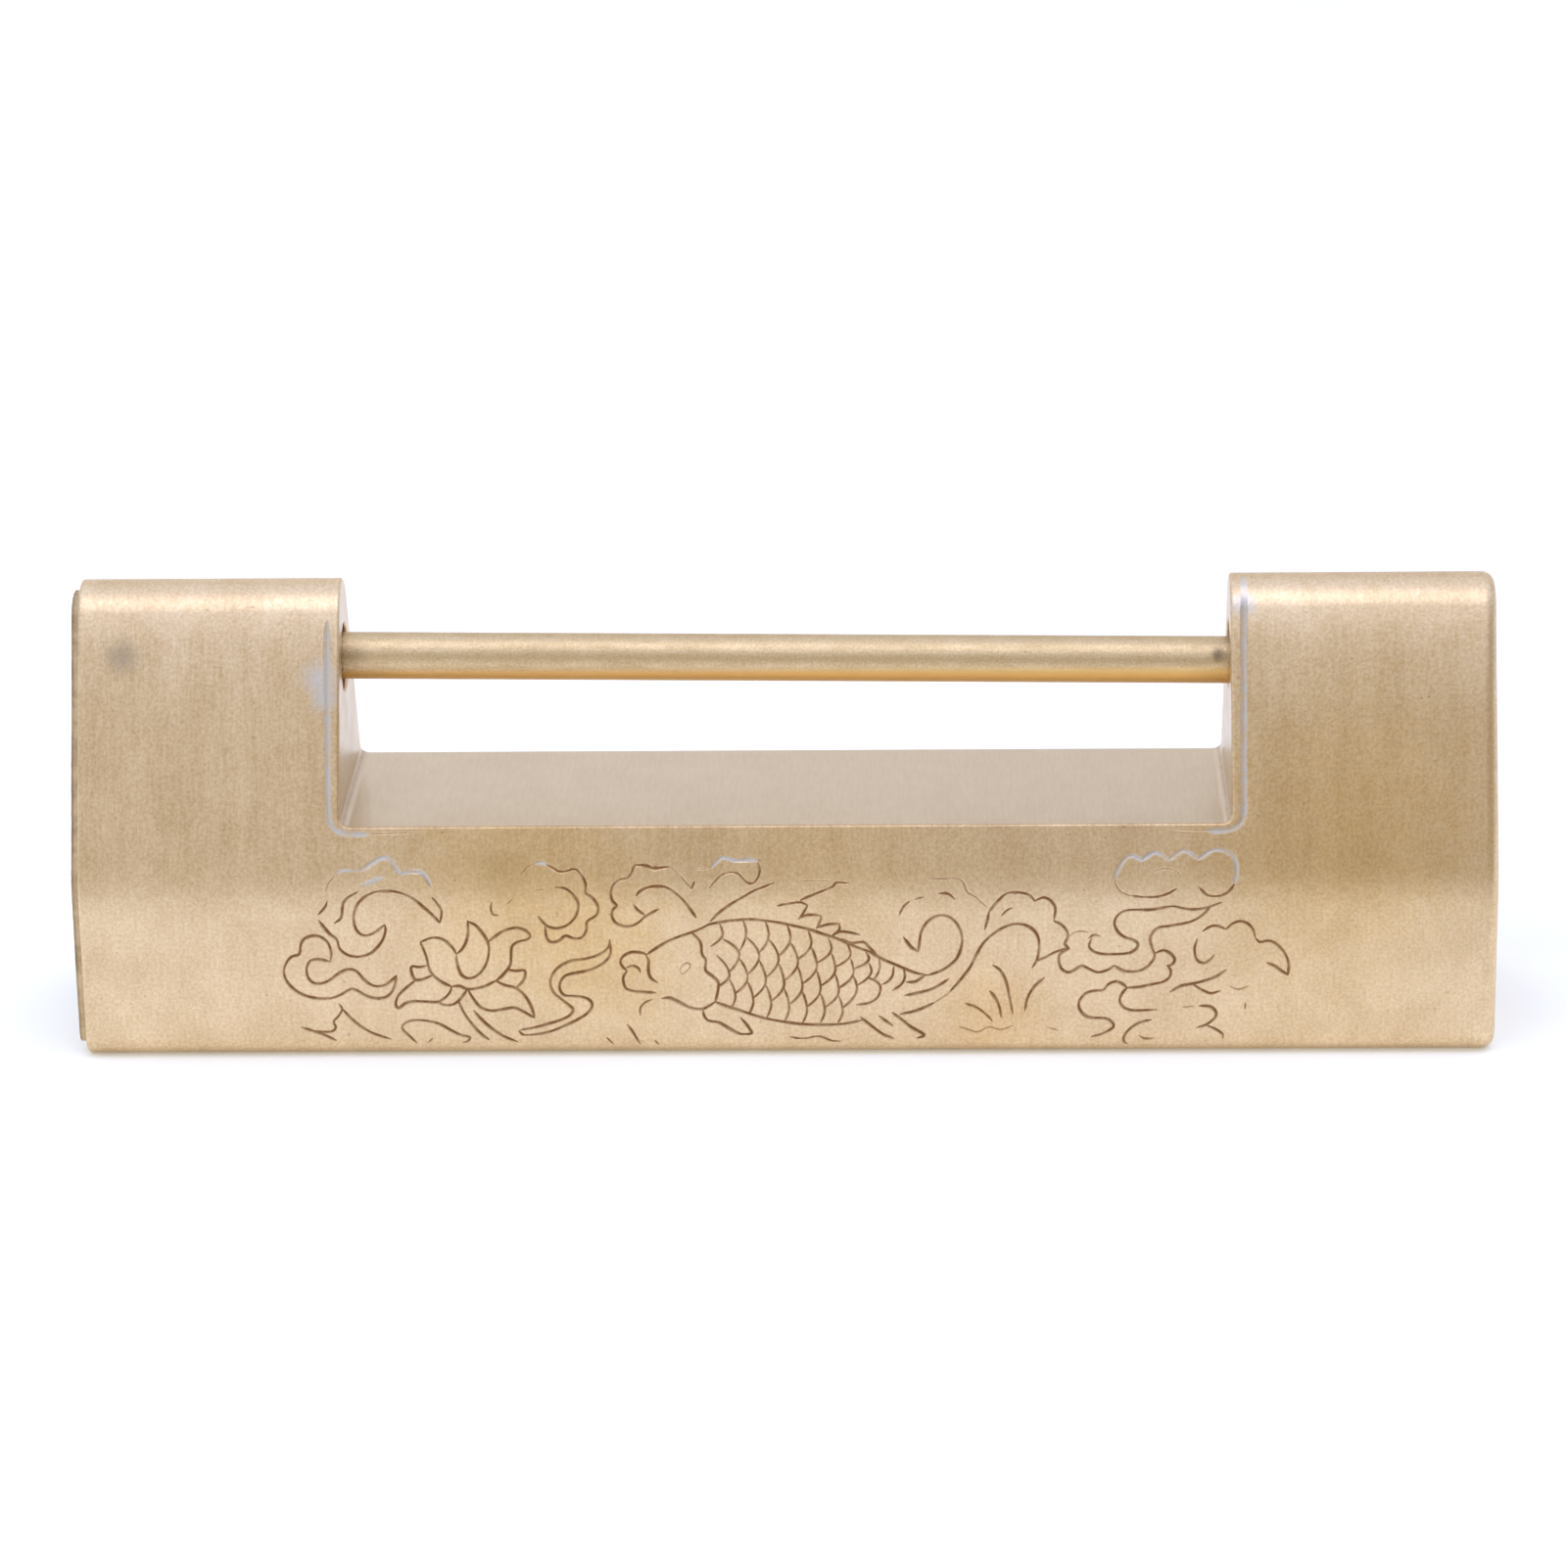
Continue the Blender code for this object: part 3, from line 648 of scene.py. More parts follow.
TAIL = """
DEEP 9.15,5.53 9.85,5.77 10.5,6.18 11,6.72 11.27,7.5 11.3,8.18 11.08,8.84 10.65,9.38 10.1,9.57
  9.55,9.45 9.05,9.05 8.73,8.45 8.63,7.78 8.54,7.12
DEEP 8.54,7.12 8.1,7.45 7.62,8.1
FINE 7.36,9.62 7.62,10.15 8,10.5
FINE 8.35,10.64 8.9,10.8
FINE 9.85,11.02 10.4,11.03 10.9,10.62
FAINT 9,11.67 9.3,11.95 10.05,11.93 10.9,11.98 11.4,11.74 11.65,11.12 12.25,10.74 12.9,10.1
DEEP 13,9.8 12.92,9.3 12.74,8.6
DEEP 7.68,4.16 8.4,4.3 9.3,4.55 9.9,4.88 10.47,5.28
DEEP 7.37,2.88 8.2,3.06 8.9,3.33 9.52,3.66
FAINT 9.52,3.66 10.1,4.05 10.55,4.4
DEEP 10.52,4.4 11.13,5.13 11.77,6 12.15,6.78 12.57,7.58 13.1,8.16 13.85,8.7 14.6,8.95 15.25,8.9
  15.8,8.57 16.1,8.05 16.16,7.4 16.04,6.6 15.72,6
DEEP 16,6.45 16.6,6.74 17.2,7.07 18.05,7.33
DEEP 13,9.8 13.47,10.4 13.97,10.9 14.5,11.09 15.1,11.02 15.6,10.85 15.9,10.48
DEEP 15.9,10.48 16.1,10.62 16.47,10.72 16.9,10.52 17.18,10 17.08,9.2
DEEP 17.08,9.17 17.58,8.9 17.92,8.45 17.95,8.02 17.78,7.62 18.07,7.3
FINE 13.8,9.52 14.1,9.87 14.48,10.06
DEEP 13.25,6.2 13.75,5.8 14.1,5 14.3,3.95 14.5,2.88
DEEP 13.05,4.43 13.43,3.93 13.67,3.27 13.76,2.68
FINE 11.5,3.6 12.2,3.35 12.85,2.82 13.2,2.4
DEEP 15.25,3.07 15.42,3.93 15.85,4.73 16.5,5.33
FAINT 11.05,2.05 11.65,1.85 12.3,1.67 13,2.02 13.7,1.82 14.5,2.08
FAINT 16.65,1.98 17.4,1.75
"""
RIBBONS = """
FAINT 18,8 18.3,8.35 18.8,8.48 19.3,8.38
DEEP 19.3,8 19.6,8.2 20,8.12
DEEP 19.45,7.95 19.3,7.45 19.6,7.1 20.15,6.92 21,6.9 21.85,6.98 22.27,7.27 22.37,7.6 22.1,7.86
  21.6,8.02 21.17,8.35 20.92,8.8 20.92,9.2 21.15,9.58 21.57,9.83 22.18,9.92 23.03,9.86 23.88,10
  24.48,10.14 25.1,10 25.75,9.88 26.4,9.95 26.9,10.08 27.6,10.35
DEEP 26.9,10.05 26.4,9.5 25.8,9.12 25.1,8.92 24.3,8.78 23.7,8.68 23.32,8.38 23.14,7.9 23.28,7.3
  23.44,6.8 23.27,6.4 22.85,5.95 22.25,5.72 21.5,5.78 20.9,6.14
DEEP 20.9,6.14 20.45,5.82 19.85,5.68 19.33,5.9 18.85,6.12 18.4,5.85 18,5.68 17.55,5.97 17.4,6.6
  17.55,7 18.05,7.27
DEEP 23.44,6.95 23.97,7.14 24.45,6.93 24.7,6.53 24.53,6.18 24.22,6.12
DEEP 24.22,6.12 24.45,5.8 24.38,5.34 23.98,5.02 23.25,4.84 22.4,4.66 21.7,4.63
DEEP 19.48,1.3 20.15,1.5 20.72,1.82 20.88,2.1 20.65,2.42 20.28,2.56 19.45,2.6 19,2.82 18.68,3.3
  18.74,3.82 19.1,4.25 19.6,4.42 20.2,4.48 20.53,4.87 21.03,5.05 21.45,4.88 21.7,4.63
DEEP 21.7,4.63 21.35,4.15 21.25,3.7 21.53,3.3 22.15,3.08 23.58,3.13
DEEP 23.25,2.45 22.5,2.24 21.9,1.83 21.53,1.3 21.55,0.85 21.75,0.68
FINE 22.5,1.34 22.9,1.12 23.4,1.17
DEEP 26.28,3.38 26.97,3.33 27.33,2.97 27.27,2.57 26.73,2.1 26.1,1.9
FINE 26.73,2.06 27.33,1.8 27.78,1.44 27.76,1.1
FAINT 25.2,3.3 25.9,3.36
DEEP 24.42,4.32 25.1,4.73 25.85,4.88 26.6,5.08 27.3,5.35 27.95,5.82
FINE 25.85,4.85 26.45,4.47 27,4.23 27.6,4.4
FAINT 28.2,4.7 28.8,4.5 29.4,4.75
FAINT 29.05,3.45 29.25,3.35
"""
RIGHT_CLOUD = """
DEEP 26.43,8.42 26.92,8.74 27.4,8.78 27.9,8.55
DEEP 27.9,8.55 28.33,8.94 28.82,9.09 29.26,8.94 29.6,8.54 29.77,7.95
DEEP 29.77,7.95 30.05,7.68 30.62,7.77 31.18,7.48 31.66,6.87 31.88,6.14 31.83,5.45
DEEP 31.83,5.45 31.4,5.77 30.96,6.1 30.5,6.28
DEEP 26.1,7.9 25.94,7.33 26,6.74 26.2,6.4 26.57,6.28 26.95,6.52 27.2,6.87
WORN 20.93,11.9 21,12.25 21.24,12.75 21.65,13.23 22.1,13.33 22.6,13.05
WORN 22.6,13.05 22.96,13.32 23.45,13.55 23.94,13.34 24.3,13.05
WORN 24.3,13.05 24.68,13.37 25.16,13.65 25.66,13.47 26.15,13.1
WORN 26.15,13.1 26.52,13.38 27,13.66 27.7,13.68 28.25,13.36 28.5,12.85 28.53,12.24 28.4,11.62
DEEP 28.38,11.55 28.2,11.24 27.78,10.87 27.17,10.72 26.68,10.87 26.18,11.36
FAINT 20.93,11.85 21,11.48 21.37,11.05 22,10.8
DEEP 22,10.8 22.86,10.71 23.6,10.74 24.22,10.93 24.77,11.25
FAINT 23.1,12.2 23.55,12.43 24.2,12.54 24.8,12.36 25.05,12.05
"""
LAST_SCALE = """
FINE 6.08,6.67 6.11,6.07 5.92,5.54 5.64,5.21
FINE 6.98,6.14 6.91,5.53 6.62,5.12 6.24,4.91
FINE 5.31,5.39 5.87,5.15 6.14,4.73 5.97,4.07 5.41,3.66 4.63,3.54
"""
NICK = """
DEEP 29.2,3.57 29.15,3.17
"""
NOTCH_SEAM = """
SEAM -28.68,28.3 -28.66,26.5 -28.66,24.4 -28.64,21 -28.62,18 -28.58,16.2 -28.4,15.5 -27.95,15.08
  -27.2,14.93 -26,14.92
FAINT -26,14.92 -24.5,14.95 -23.4,14.97
SEAM 29.14,31.3 29.12,29.6 29.1,28 29.09,25 29.07,22 29.05,18 29.03,16.2 28.85,15.45 28.4,15.05
  27.7,14.9 26.7,14.9
FAINT 26.7,14.9 25.6,14.94 24.6,14.96
"""
MOTIFS = (LEFT_CLOUD, LEFT_LOBE, LOW_LEAF, LOTUS, MIDDLE_CLOUD, RIBBON_CURL, HEAD_CLOUD)
MOTIFS += (CARP, LAST_SCALE, TAIL, RIBBONS, RIGHT_CLOUD, NICK, NOTCH_SEAM)


@dataclass(frozen=True)
class ScaleRow:
    """A row of the carp's scales.

    Attributes:
        level: Height of the row between belly and back, from 0 to 1.
        first: Place of the first scale's tip along the lock.
        count: Number of scales.
        pitch: Distance from one scale to the next at the head.
        closing: Share by which each distance shrinks towards the tail.
    """

    level: float
    first: float
    count: int
    pitch: float
    closing: float

    @staticmethod
    def sides(x: Array) -> tuple[Array, Array]:
        """Heights of the carp's belly and back, each a run of straight lines.

        Args:
            x: Places along the lock.

        Returns:
            Belly and back at each place.
        """
        stations = np.array([-5, -2, 1, 4, 6, 8])
        belly = np.interp(x, stations, [4.0, 2.95, 2.3, 2.35, 4.1, 5.1])
        return belly, np.interp(x, stations, [8.9, 9.35, 8.85, 7.75, 6.85, 5.85])

    def tips(self) -> Array:
        """Tips of the scales, whose distances shrink evenly.

        Returns:
            Place and height of each tip.
        """
        number = np.arange(self.count)
        x = self.first + self.pitch * number - self.closing * number * (number - 1) / 2
        belly, back = self.sides(x)
        return np.column_stack([x, belly + self.level * (back - belly)])


CARP_SCALES = (
    ScaleRow(0.87, -3.78, 8, 1.48, 0.055),
    ScaleRow(0.63, -2.75, 8, 1.25, 0.02),
    ScaleRow(0.38, -3.4, 8, 1.15, 0.0),
    ScaleRow(0.14, -3.05, 7, 1.13, 0.0),
)
ARC_POWER = 1.8
SET_BACKS = (0.2, 0.3)
JOIN_RISES = (-0.32, 0.2)
FREE_END = (-0.8, -4.2)
LEAST_GAP = 0.15


def scale_strokes(rows: tuple[ScaleRow, ...]) -> list[Stroke]:
    """Arcs of all scales: each runs from a tip in the row above, through its own, to a tip in the row below.

    From its tip, an arc falls back towards the head with a power of the height. The outer rows end on the
    back and the belly, and a scale with no neighbour ends free.

    Args:
        rows: The rows, from back to belly.

    Returns:
        One stroke for each scale.
    """
    tips = [row.tips() for row in rows]
    share = np.linspace(0, 1, 4)
    bends = np.column_stack([share**ARC_POWER, share])
    strokes = []
    for number, row in enumerate(tips):
        belly, back = ScaleRow.sides(row[:, 0])
        ends = [np.column_stack([row[:, 0] - gap, edge]) for gap, edge in zip(SET_BACKS, (back, belly))]
        for side, rise in enumerate(JOIN_RISES):
            other = number + 2 * side - 1
            if 0 <= other < len(tips):
                gap = row[:, None, 0] - tips[other][None, :, 0]
                gap = np.where(gap > LEAST_GAP, gap, np.inf)
                joined = tips[other][np.argmin(gap, axis=1)] + [0.0, rise]
                free = row + [FREE_END[0], FREE_END[1] * rise]
                ends[side] = np.where(np.isfinite(gap.min(axis=1))[:, None], joined, free)
        for tip, above, below in zip(row, *ends):
            line = np.concatenate([(tip + bends * (above - tip))[::-1], (tip + bends * (below - tip))[1:]])
            strokes.append(Stroke(Cut.FINE, " ".join(f"{x:.3f},{s:.3f}" for x, s in line)))
    return strokes


@dataclass
class Engraving:
    """All lines cut into the front: V grooves whose walls fall from their edges to their middle.

    Each line is drawn in steps from point to point. A hand swells and thins it, and it runs out at its ends.
    """

    steps: int = 3
    swell: float = 0.16
    end_share: float = 0.45
    run_out: float = 0.5
    cap_reach: float = 1.05
    margin: float = 0.3

    def __post_init__(self) -> None:
        """Work out every stroke's line, its width and its edges."""
        strokes = [stroke for motif in MOTIFS for stroke in strokes_of(motif)]
        strokes += scale_strokes(CARP_SCALES)
        self.lines = [stroke.points(self.steps) for stroke in strokes]
        self.widths = [self._widths(line, stroke.cut) for line, stroke in zip(self.lines, strokes)]
        spans = [len(line) - 1 for line in self.lines]
        self.starts = np.concatenate([line[:-1] for line in self.lines])
        self.ends = np.concatenate([line[1:] for line in self.lines])
        self.start_widths = np.concatenate([width[:-1] for width in self.widths])
        self.end_widths = np.concatenate([width[1:] for width in self.widths])
        self.steepness = np.repeat([stroke.cut.depth / stroke.cut.half_width for stroke in strokes], spans)
        self.tones = np.repeat([stroke.cut.marks for stroke in strokes], spans, axis=0)

    def _widths(self, line: Array, cut: Cut) -> Array:
        """Half width along a line: it swells and thins a little by hand, and runs out at both ends.

        Args:
            line: Pairs of x and s.
            cut: How it was cut.

        Returns:
            Half width at each point.
        """
        run = np.concatenate([[0.0], np.cumsum(np.linalg.norm(np.diff(line, axis=0), axis=1))])
        to_end = np.minimum(run, run[-1] - run)
        hand = 1 + self.swell * np.sin(2.1 * run + 3.7 * line[0, 0]) * np.sin(0.9 * run + line[0, 1])
        return cut.half_width * hand * np.clip(self.end_share + to_end / self.run_out, self.end_share, 1.0)

    def guides(self) -> tuple[Array, Array]:
        """Middle and both edges of every groove, closed by a point past each end.

        Returns:
            Places as pairs of x and s, and edges as pairs of their numbers.
        """
        places, edges, first = [], [], 0
        for line, width in zip(self.lines, self.widths):
            heading = unit(np.gradient(line, axis=0))
            side = np.stack([-heading[:, 1], heading[:, 0]], axis=1) * width[:, None]
            count = len(line)
            reach = self.cap_reach * width[[0, -1], None]
            tips = line[[0, -1]] + reach * heading[[0, -1]] * [[-1.0], [1.0]]
            places += [line, line + side, line - side, tips]
            numbers = first + np.arange(3 * count).reshape(3, count)
            runs = np.stack([numbers[:, :-1], numbers[:, 1:]], axis=-1).reshape(-1, 2)
            ends = numbers[:, [0, -1]]
            ties = [np.stack([ends[0], ends[k]], axis=1) for k in (1, 2)]
            caps = [np.stack([ends[k], first + 3 * count + np.arange(2)], axis=1) for k in range(3)]
            edges += [runs, *ties, *caps]
            first += 3 * count + 2
        return np.concatenate(places), np.concatenate(edges)

    def cut_at(self, places: Array) -> tuple[Array, Array]:
        """Depth of the deepest groove at each place: it falls evenly with the distance to the middle line.

        Args:
            places: Pairs of x and s.

        Returns:
            Depth, and the three marks, at each place.
        """
        depth = np.zeros(len(places))
        marks = np.zeros((len(places), 3))
        low = np.minimum(self.starts[:, 0], self.ends[:, 0])
        high = np.maximum(self.starts[:, 0], self.ends[:, 0])
        bins = np.floor(places[:, 0]).astype(int)
        for slab in np.unique(bins):
            here = np.flatnonzero(bins == slab)
            near = np.flatnonzero((high > slab - self.margin) & (low < slab + 1 + self.margin))
            if not len(near):
                continue
            along = (self.ends - self.starts)[near]
            offset = places[here, None] - self.starts[None, near]
            share = np.sum(offset * along[None], axis=2) / np.maximum(np.sum(along**2, axis=1), 1e-9)
            share = np.clip(share, 0, 1)
            away = np.linalg.norm(offset - share[..., None] * along[None], axis=2)
            width = self.start_widths[near] + share * (self.end_widths - self.start_widths)[near]
            into = np.maximum(1 - away / width, 0)
            depth[here] = np.max(into * width * self.steepness[near], axis=1)
            marks[here, :2] = np.max(into[..., None] * self.tones[None, near], axis=1)
        depth[depth < MERGE] = 0
        return depth, marks


# Case


@dataclass(frozen=True)
class CaseSection:
    """Shape of the case across its length: upright below, leaning flanks, a rounded ridge.

    The length s runs up the front from the base corner and equals z on the upright face.
    Polish is the extra turn that rubbing gave the normals: from polish_start, at the shoulder's two ends,
    at both ends of the plain flank, at the ridge's roll and at the ridge.
    """

    depth: float = 17.5
    height: float = 29.2
    shoulder_height: float = 11.5
    ridge_radius: float = 2.4
    shoulder_radius: float = 8.0
    base_radius: float = 1.5
    polish_start: float = 5.0
    plain_flank: Pair = (6.0, 7.0)
    ridge_roll: float = 2.5
    polish: tuple[float, ...] = (0.0, 0.09, -0.06, 0.0, 0.0, 0.09, 0.19, 0.0)

    @property
    def lean(self) -> float:
        """Angle of the flank from upright: tangent from the shoulder corner to the ridge circle.

        Returns:
            The angle in radians.
        """
        drop = self.height - self.ridge_radius - self.shoulder_height
        reach = math.hypot(self.depth / 2, drop)
        return math.acos(self.ridge_radius / reach) - math.atan2(drop, self.depth / 2)

    @property
    def upright_top(self) -> float:
        """Height at which the shoulder's curve begins."""
        return self.shoulder_height - self.shoulder_radius * math.tan(self.lean / 2)

    @property
    def flank_start(self) -> float:
        """Length s at which the flank turns straight."""
        return self.upright_top + self.shoulder_radius * self.lean

    @property
    def flank_end(self) -> float:
        """Length s at which the flank meets the ridge's curve."""
        top = self.height - self.ridge_radius + self.ridge_radius * math.sin(self.lean)
        return self.flank_start + (top - self._flank_foot()[1]) / math.cos(self.lean)

    @property
    def ridge_top(self) -> float:
        """Length s at the top of the ridge."""
        return self.flank_end + self.ridge_radius * (QUARTER - self.lean)

    @property
    def base_start(self) -> float:
        """Length s at which the base corner begins on the underside."""
        return self.base_radius * (1 - QUARTER)

    def _flank_foot(self) -> Pair:
        """Place at which the flank turns straight, as y outwards and z."""
        y = self.depth / 2 - self.shoulder_radius * (1 - math.cos(self.lean))
        return y, self.upright_top + self.shoulder_radius * math.sin(self.lean)

    def flank_length_at(self, z: float) -> float:
        """Length s at a height on the straight flank."""
        return self.flank_start + (z - self._flank_foot()[1]) / math.cos(self.lean)

    def place(self, s: Array, inset: Array | float = 0.0) -> tuple[Array, Array]:
        """Place and normal at each length s, moved into the metal by the inset.

        Polishing rolled the flank over, so the normals lean back below the ridge, less so at the shoulder.

        Args:
            s: Lengths up the front.
            inset: Depth below the surface.

        Returns:
            Pairs of y outwards and z, and the normals in the same terms.
        """
        s = np.asarray(s, dtype=float)
        inset = np.broadcast_to(inset, s.shape)
        half, lean = self.depth / 2, self.lean
        corner = np.maximum(self.base_radius, inset + LEAST_RADIUS)
        bounds = [s < self.base_radius, s < self.upright_top, s < self.flank_start, s < self.flank_end]
        base_turn = (s - self.base_radius) / self.base_radius
        shoulder_turn = (s - self.upright_top) / self.shoulder_radius
        ridge_turn = lean + (s - self.flank_end) / self.ridge_radius
        turns = np.select(bounds, [base_turn, 0 * s, shoulder_turn, 0 * s + lean], ridge_turn)
        out = np.stack([np.cos(turns), np.sin(turns)], axis=-1)
        base = np.stack([half - corner, corner], axis=-1) + (corner - inset)[..., None] * out
        upright = np.stack([half - inset, np.maximum(s, corner)], axis=-1)
        shoulder = (self.shoulder_radius - inset)[..., None] * out
        shoulder = [half - self.shoulder_radius, self.upright_top] + shoulder
        climb = (s - self.flank_start)[..., None] * [-math.sin(lean), math.cos(lean)]
        flank = np.array(self._flank_foot()) + climb - inset[..., None] * out
        ridge = [0, self.height - self.ridge_radius] + (self.ridge_radius - inset)[..., None] * out
        place = np.select([bound[..., None] for bound in bounds], [base, upright, shoulder, flank], ridge)
        start, top = self.flank_start, self.flank_end
        knots = [self.polish_start, self.upright_top, start, start + self.plain_flank[0]]
        knots += [top - self.plain_flank[1], top - self.ridge_roll, top, self.ridge_top]
        polished = np.array(self.polish)
        polished[2:7] += lean
        polished[7] = QUARTER
        turns = np.where(s > self.polish_start, np.interp(s, knots, polished), turns)
        return place, np.stack([np.cos(turns), np.sin(turns)], axis=-1)

    def rows(self, extra: tuple[float, ...] = ()) -> Array:
        """Lengths s that follow the outline, with extra ones on its straight parts.

        Args:
            extra: More lengths.

        Returns:
            All lengths from the base to the ridge.
        """
        base = np.linspace(self.base_start, self.base_radius, 9)
        shoulder = np.linspace(self.upright_top, self.flank_start, 13)
        ridge = np.linspace(self.flank_end, self.ridge_top, 17)
        return np.unique(np.round(np.concatenate([base, shoulder, ridge, extra]), 9))

    def outline(self, inset: float, rows: Array | None = None) -> Outline:
        """The whole outline, up the front over the ridge and down the back.

        Args:
            inset: How far it is drawn in.
            rows: Lengths s, the plain ones if left out.

        Returns:
            The outline.
        """
        rows = self.rows() if rows is None else rows
        place, out = self.place(rows, inset)
        front = np.array([-1.0, 1.0])
        places = np.concatenate([place * front, place[-2::-1]])
        return Outline(places, np.concatenate([out * front, out[-2::-1]]))


@dataclass(frozen=True)
class NotchRim:
    """Front edge of the notch, down the left cheek, along the floor and up the right cheek.

    Attributes:
        cheek: Number of its points on each cheek.
        flat: Where the rounded edge starts on the skin, as pairs of x and s.
        skin: The same in place.
        edge: The sharp edge that the rounded one takes off.
        wall: Where the rounded edge ends on the notch's wall.
        skin_normal: Normal of the skin.
        wall_normal: Normal of the wall.
    """

    cheek: int
    flat: Array
    skin: Array
    edge: Array
    wall: Array
    skin_normal: Array
    wall_normal: Array


@dataclass
class LockCase:
    """The case: a notched body with rounded edges and an engraved front, bored for the bar and the bolt."""

    section: CaseSection = field(default_factory=CaseSection)
    left: float = -44.5
    right: float = 45.0
    bolt_edge: float = 0.22
    keyhole_edge: float = 0.8
    notch_left: float = -27.9
    notch_right: float = 28.26
    notch_floor: float = 15.1
    notch_corner: float = 0.6
    cheek_bevel: float = 0.2
    floor_bevel: float = 0.16
    bolt_wall: float = 0.6
    bolt_rebate: float = -41.2
    keyhole_wall: float = 1.4
    keyhole_rebate: float = 43.1
    chamber: Triple = (11.2, 8.4, 7.0)
    chamber_corner: float = 0.4
    bore_radius: float = 2.2
    bore_height: float = 24.05
    bore_end: float = 37.9
    bore_lip: float = 0.18
    panel_reach: float = 33.4
    panel_foot: float = 0.3
    panel_merge: float = 1e-5
    inward_rise: float = 4.0
    bevel_dirt: float = 0.25
    corner_darkening: float = 0.3
    floor_steps: int = 16
    engraving: Engraving = field(default_factory=Engraving)

    def __post_init__(self) -> None:
        """Work out the rows up the front, the stations along the case and the notch's edge."""
        floor = self.section.flank_length_at(self.notch_floor)
        head = floor + self.notch_corner
        self.foot = floor - self.floor_bevel
        self.rows = self.section.rows((self.foot, *np.linspace(head, self.section.flank_end, 9)))
        self.stations = self._stations()
        self.rim = self._notch_rim(self.rows[np.searchsorted(self.rows, head - CLOSE):], floor)

    def build(self, material: Material) -> Piece:
        """Make the case as one closed skin.

        Args:
            material: Its finish.

        Returns:
            The piece.
        """
        patches = [self._notch_floor(), *self._cheek_face(True), *self._cheek_face(False)]
        patches += [self._skin(), self._panel(), self._bevel(1.0), self._bevel(-1.0), *self._corner_fans()]
        return Shell(patches + self._ends()).build("lock_case", material)

    def _stations(self) -> tuple[Array, Array, Array]:
        """Places along the case with their insets and turns, the two ends rounded by quarter circles.

        Returns:
            Place, inset and axial part of the normal at each station.
        """
        turn = np.linspace(0, QUARTER, 7)
        left = self.left + self.bolt_edge * (1 - np.cos(turn))
        right = (self.right - self.keyhole_edge * (1 - np.cos(turn)))[::-1]
        corner, bevel = self.notch_corner, self.cheek_bevel
        middle = [-self.panel_reach, self.notch_left - bevel, self.notch_left + corner]
        middle += [self.notch_right - corner, self.notch_right + bevel, self.panel_reach]
        plain, sink = np.zeros(len(middle)), 1 - np.sin(turn)
        inset = np.concatenate([self.bolt_edge * sink, plain, (self.keyhole_edge * sink)[::-1]])
        axial = np.concatenate([-np.cos(turn), plain, np.cos(turn)[::-1]])
        return np.concatenate([left, middle, right]), inset, axial

    def _skin(self) -> Patch:
        """Outer skin: the outline carried along the stations, left open at the notch and the engraved panel.

        Returns:
            The patch.
        """
        rows = self.rows
        x, inset, axial = self.stations
        bottom, foot = np.searchsorted(rows, [self.panel_foot, self.foot - CLOSE])
        normals = self.section.outline(0.0, rows).normals
        flats = np.stack([self.section.outline(depth, rows).places for depth in inset])
        keep = np.ones((len(x) - 1, flats.shape[1]), dtype=bool)
        reach = (x[:-1] >= -self.panel_reach - CLOSE) & (x[1:] <= self.panel_reach + CLOSE)
        keep[np.flatnonzero(reach)[:, None], np.arange(bottom, len(rows) - 1)] = False
        open_left, open_right = self.notch_left - self.cheek_bevel, self.notch_right + self.cheek_bevel
        notch = (x[:-1] >= open_left - CLOSE) & (x[1:] <= open_right + CLOSE)
        keep[np.flatnonzero(notch)[:, None], np.arange(foot, 2 * (len(rows) - 1) - foot)] = False
        return carried_patch(flats, normals, x, axial, keep)

    def _panel_mesh(self) -> tuple[Array, Array]:
        """Triangles of the engraved front, fitted to its sides, its rows, the notch and the grooves.

        Returns:
            Pairs of x and s, and three of their numbers for each triangle.
        """
        rows = self.rows[np.searchsorted(self.rows, self.panel_foot):]
        notch, x = self.rim.flat, self.stations[0]
        x = x[np.abs(x) <= self.panel_reach + CLOSE]
        sides = np.stack(np.meshgrid(x[[0, -1]], rows, indexing="ij"), axis=-1)
        brim = np.column_stack([x[1:-1], np.full(len(x) - 2, rows[0])])
        count = len(rows)
        levels = np.stack([np.arange(count), count + np.arange(count)], axis=1)
        uprights = np.concatenate([chain(count), chain(count) + count])
        frame = np.concatenate([notch, sides.reshape(-1, 2), brim])
        lines, line_edges = self.engraving.guides()
        places = np.concatenate([frame, lines])
        sides_edges = np.concatenate([levels, uprights]) + len(notch)
        edges = np.concatenate([chain(len(notch)), sides_edges, line_edges + len(frame)])
        corners_given = [Vector(pair) for pair in places.tolist()]
        made = delaunay_2d_cdt(corners_given, edges.tolist(), [], 0, self.panel_merge)
        given = np.array([min(numbers, default=-1) for numbers in made[3]])
        flat = np.where(given[:, None] >= 0, places[given], np.array([tuple(v) for v in made[0]]))
        faces = np.array(made[2])
        return flat, faces[~inside_loops(flat[faces].mean(axis=1), [notch])]

    def _panel(self) -> Patch:
        """Engraved front: its triangles, sunk by the grooves' depth and flat-shaded in the grooves.

        Returns:
            The patch.
        """
        flat, faces = self._panel_mesh()
        depth, marks = self.engraving.cut_at(flat)
        plain = np.unique(faces[self.engraving.cut_at(flat[faces].mean(axis=1))[0] <= 0])
        depth[plain] = 0.0
        marks[plain] = 0.0
        place, out = self.section.place(flat[:, 1], depth)
        points = on_front(flat[:, 0], place)
        corners = on_front(0.0, out)[faces]
        a, b, c = (points[faces[:, k]] for k in range(3))
        slope = unit(np.cross(b - a, c - a))
        slope *= np.sign(np.sum(slope * corners.sum(axis=1), axis=1))[:, None]
        groove = depth[faces].max(axis=1) > 0
        corners[groove] = slope[groove][:, None]
        return Patch(points, faces, corners, marks)

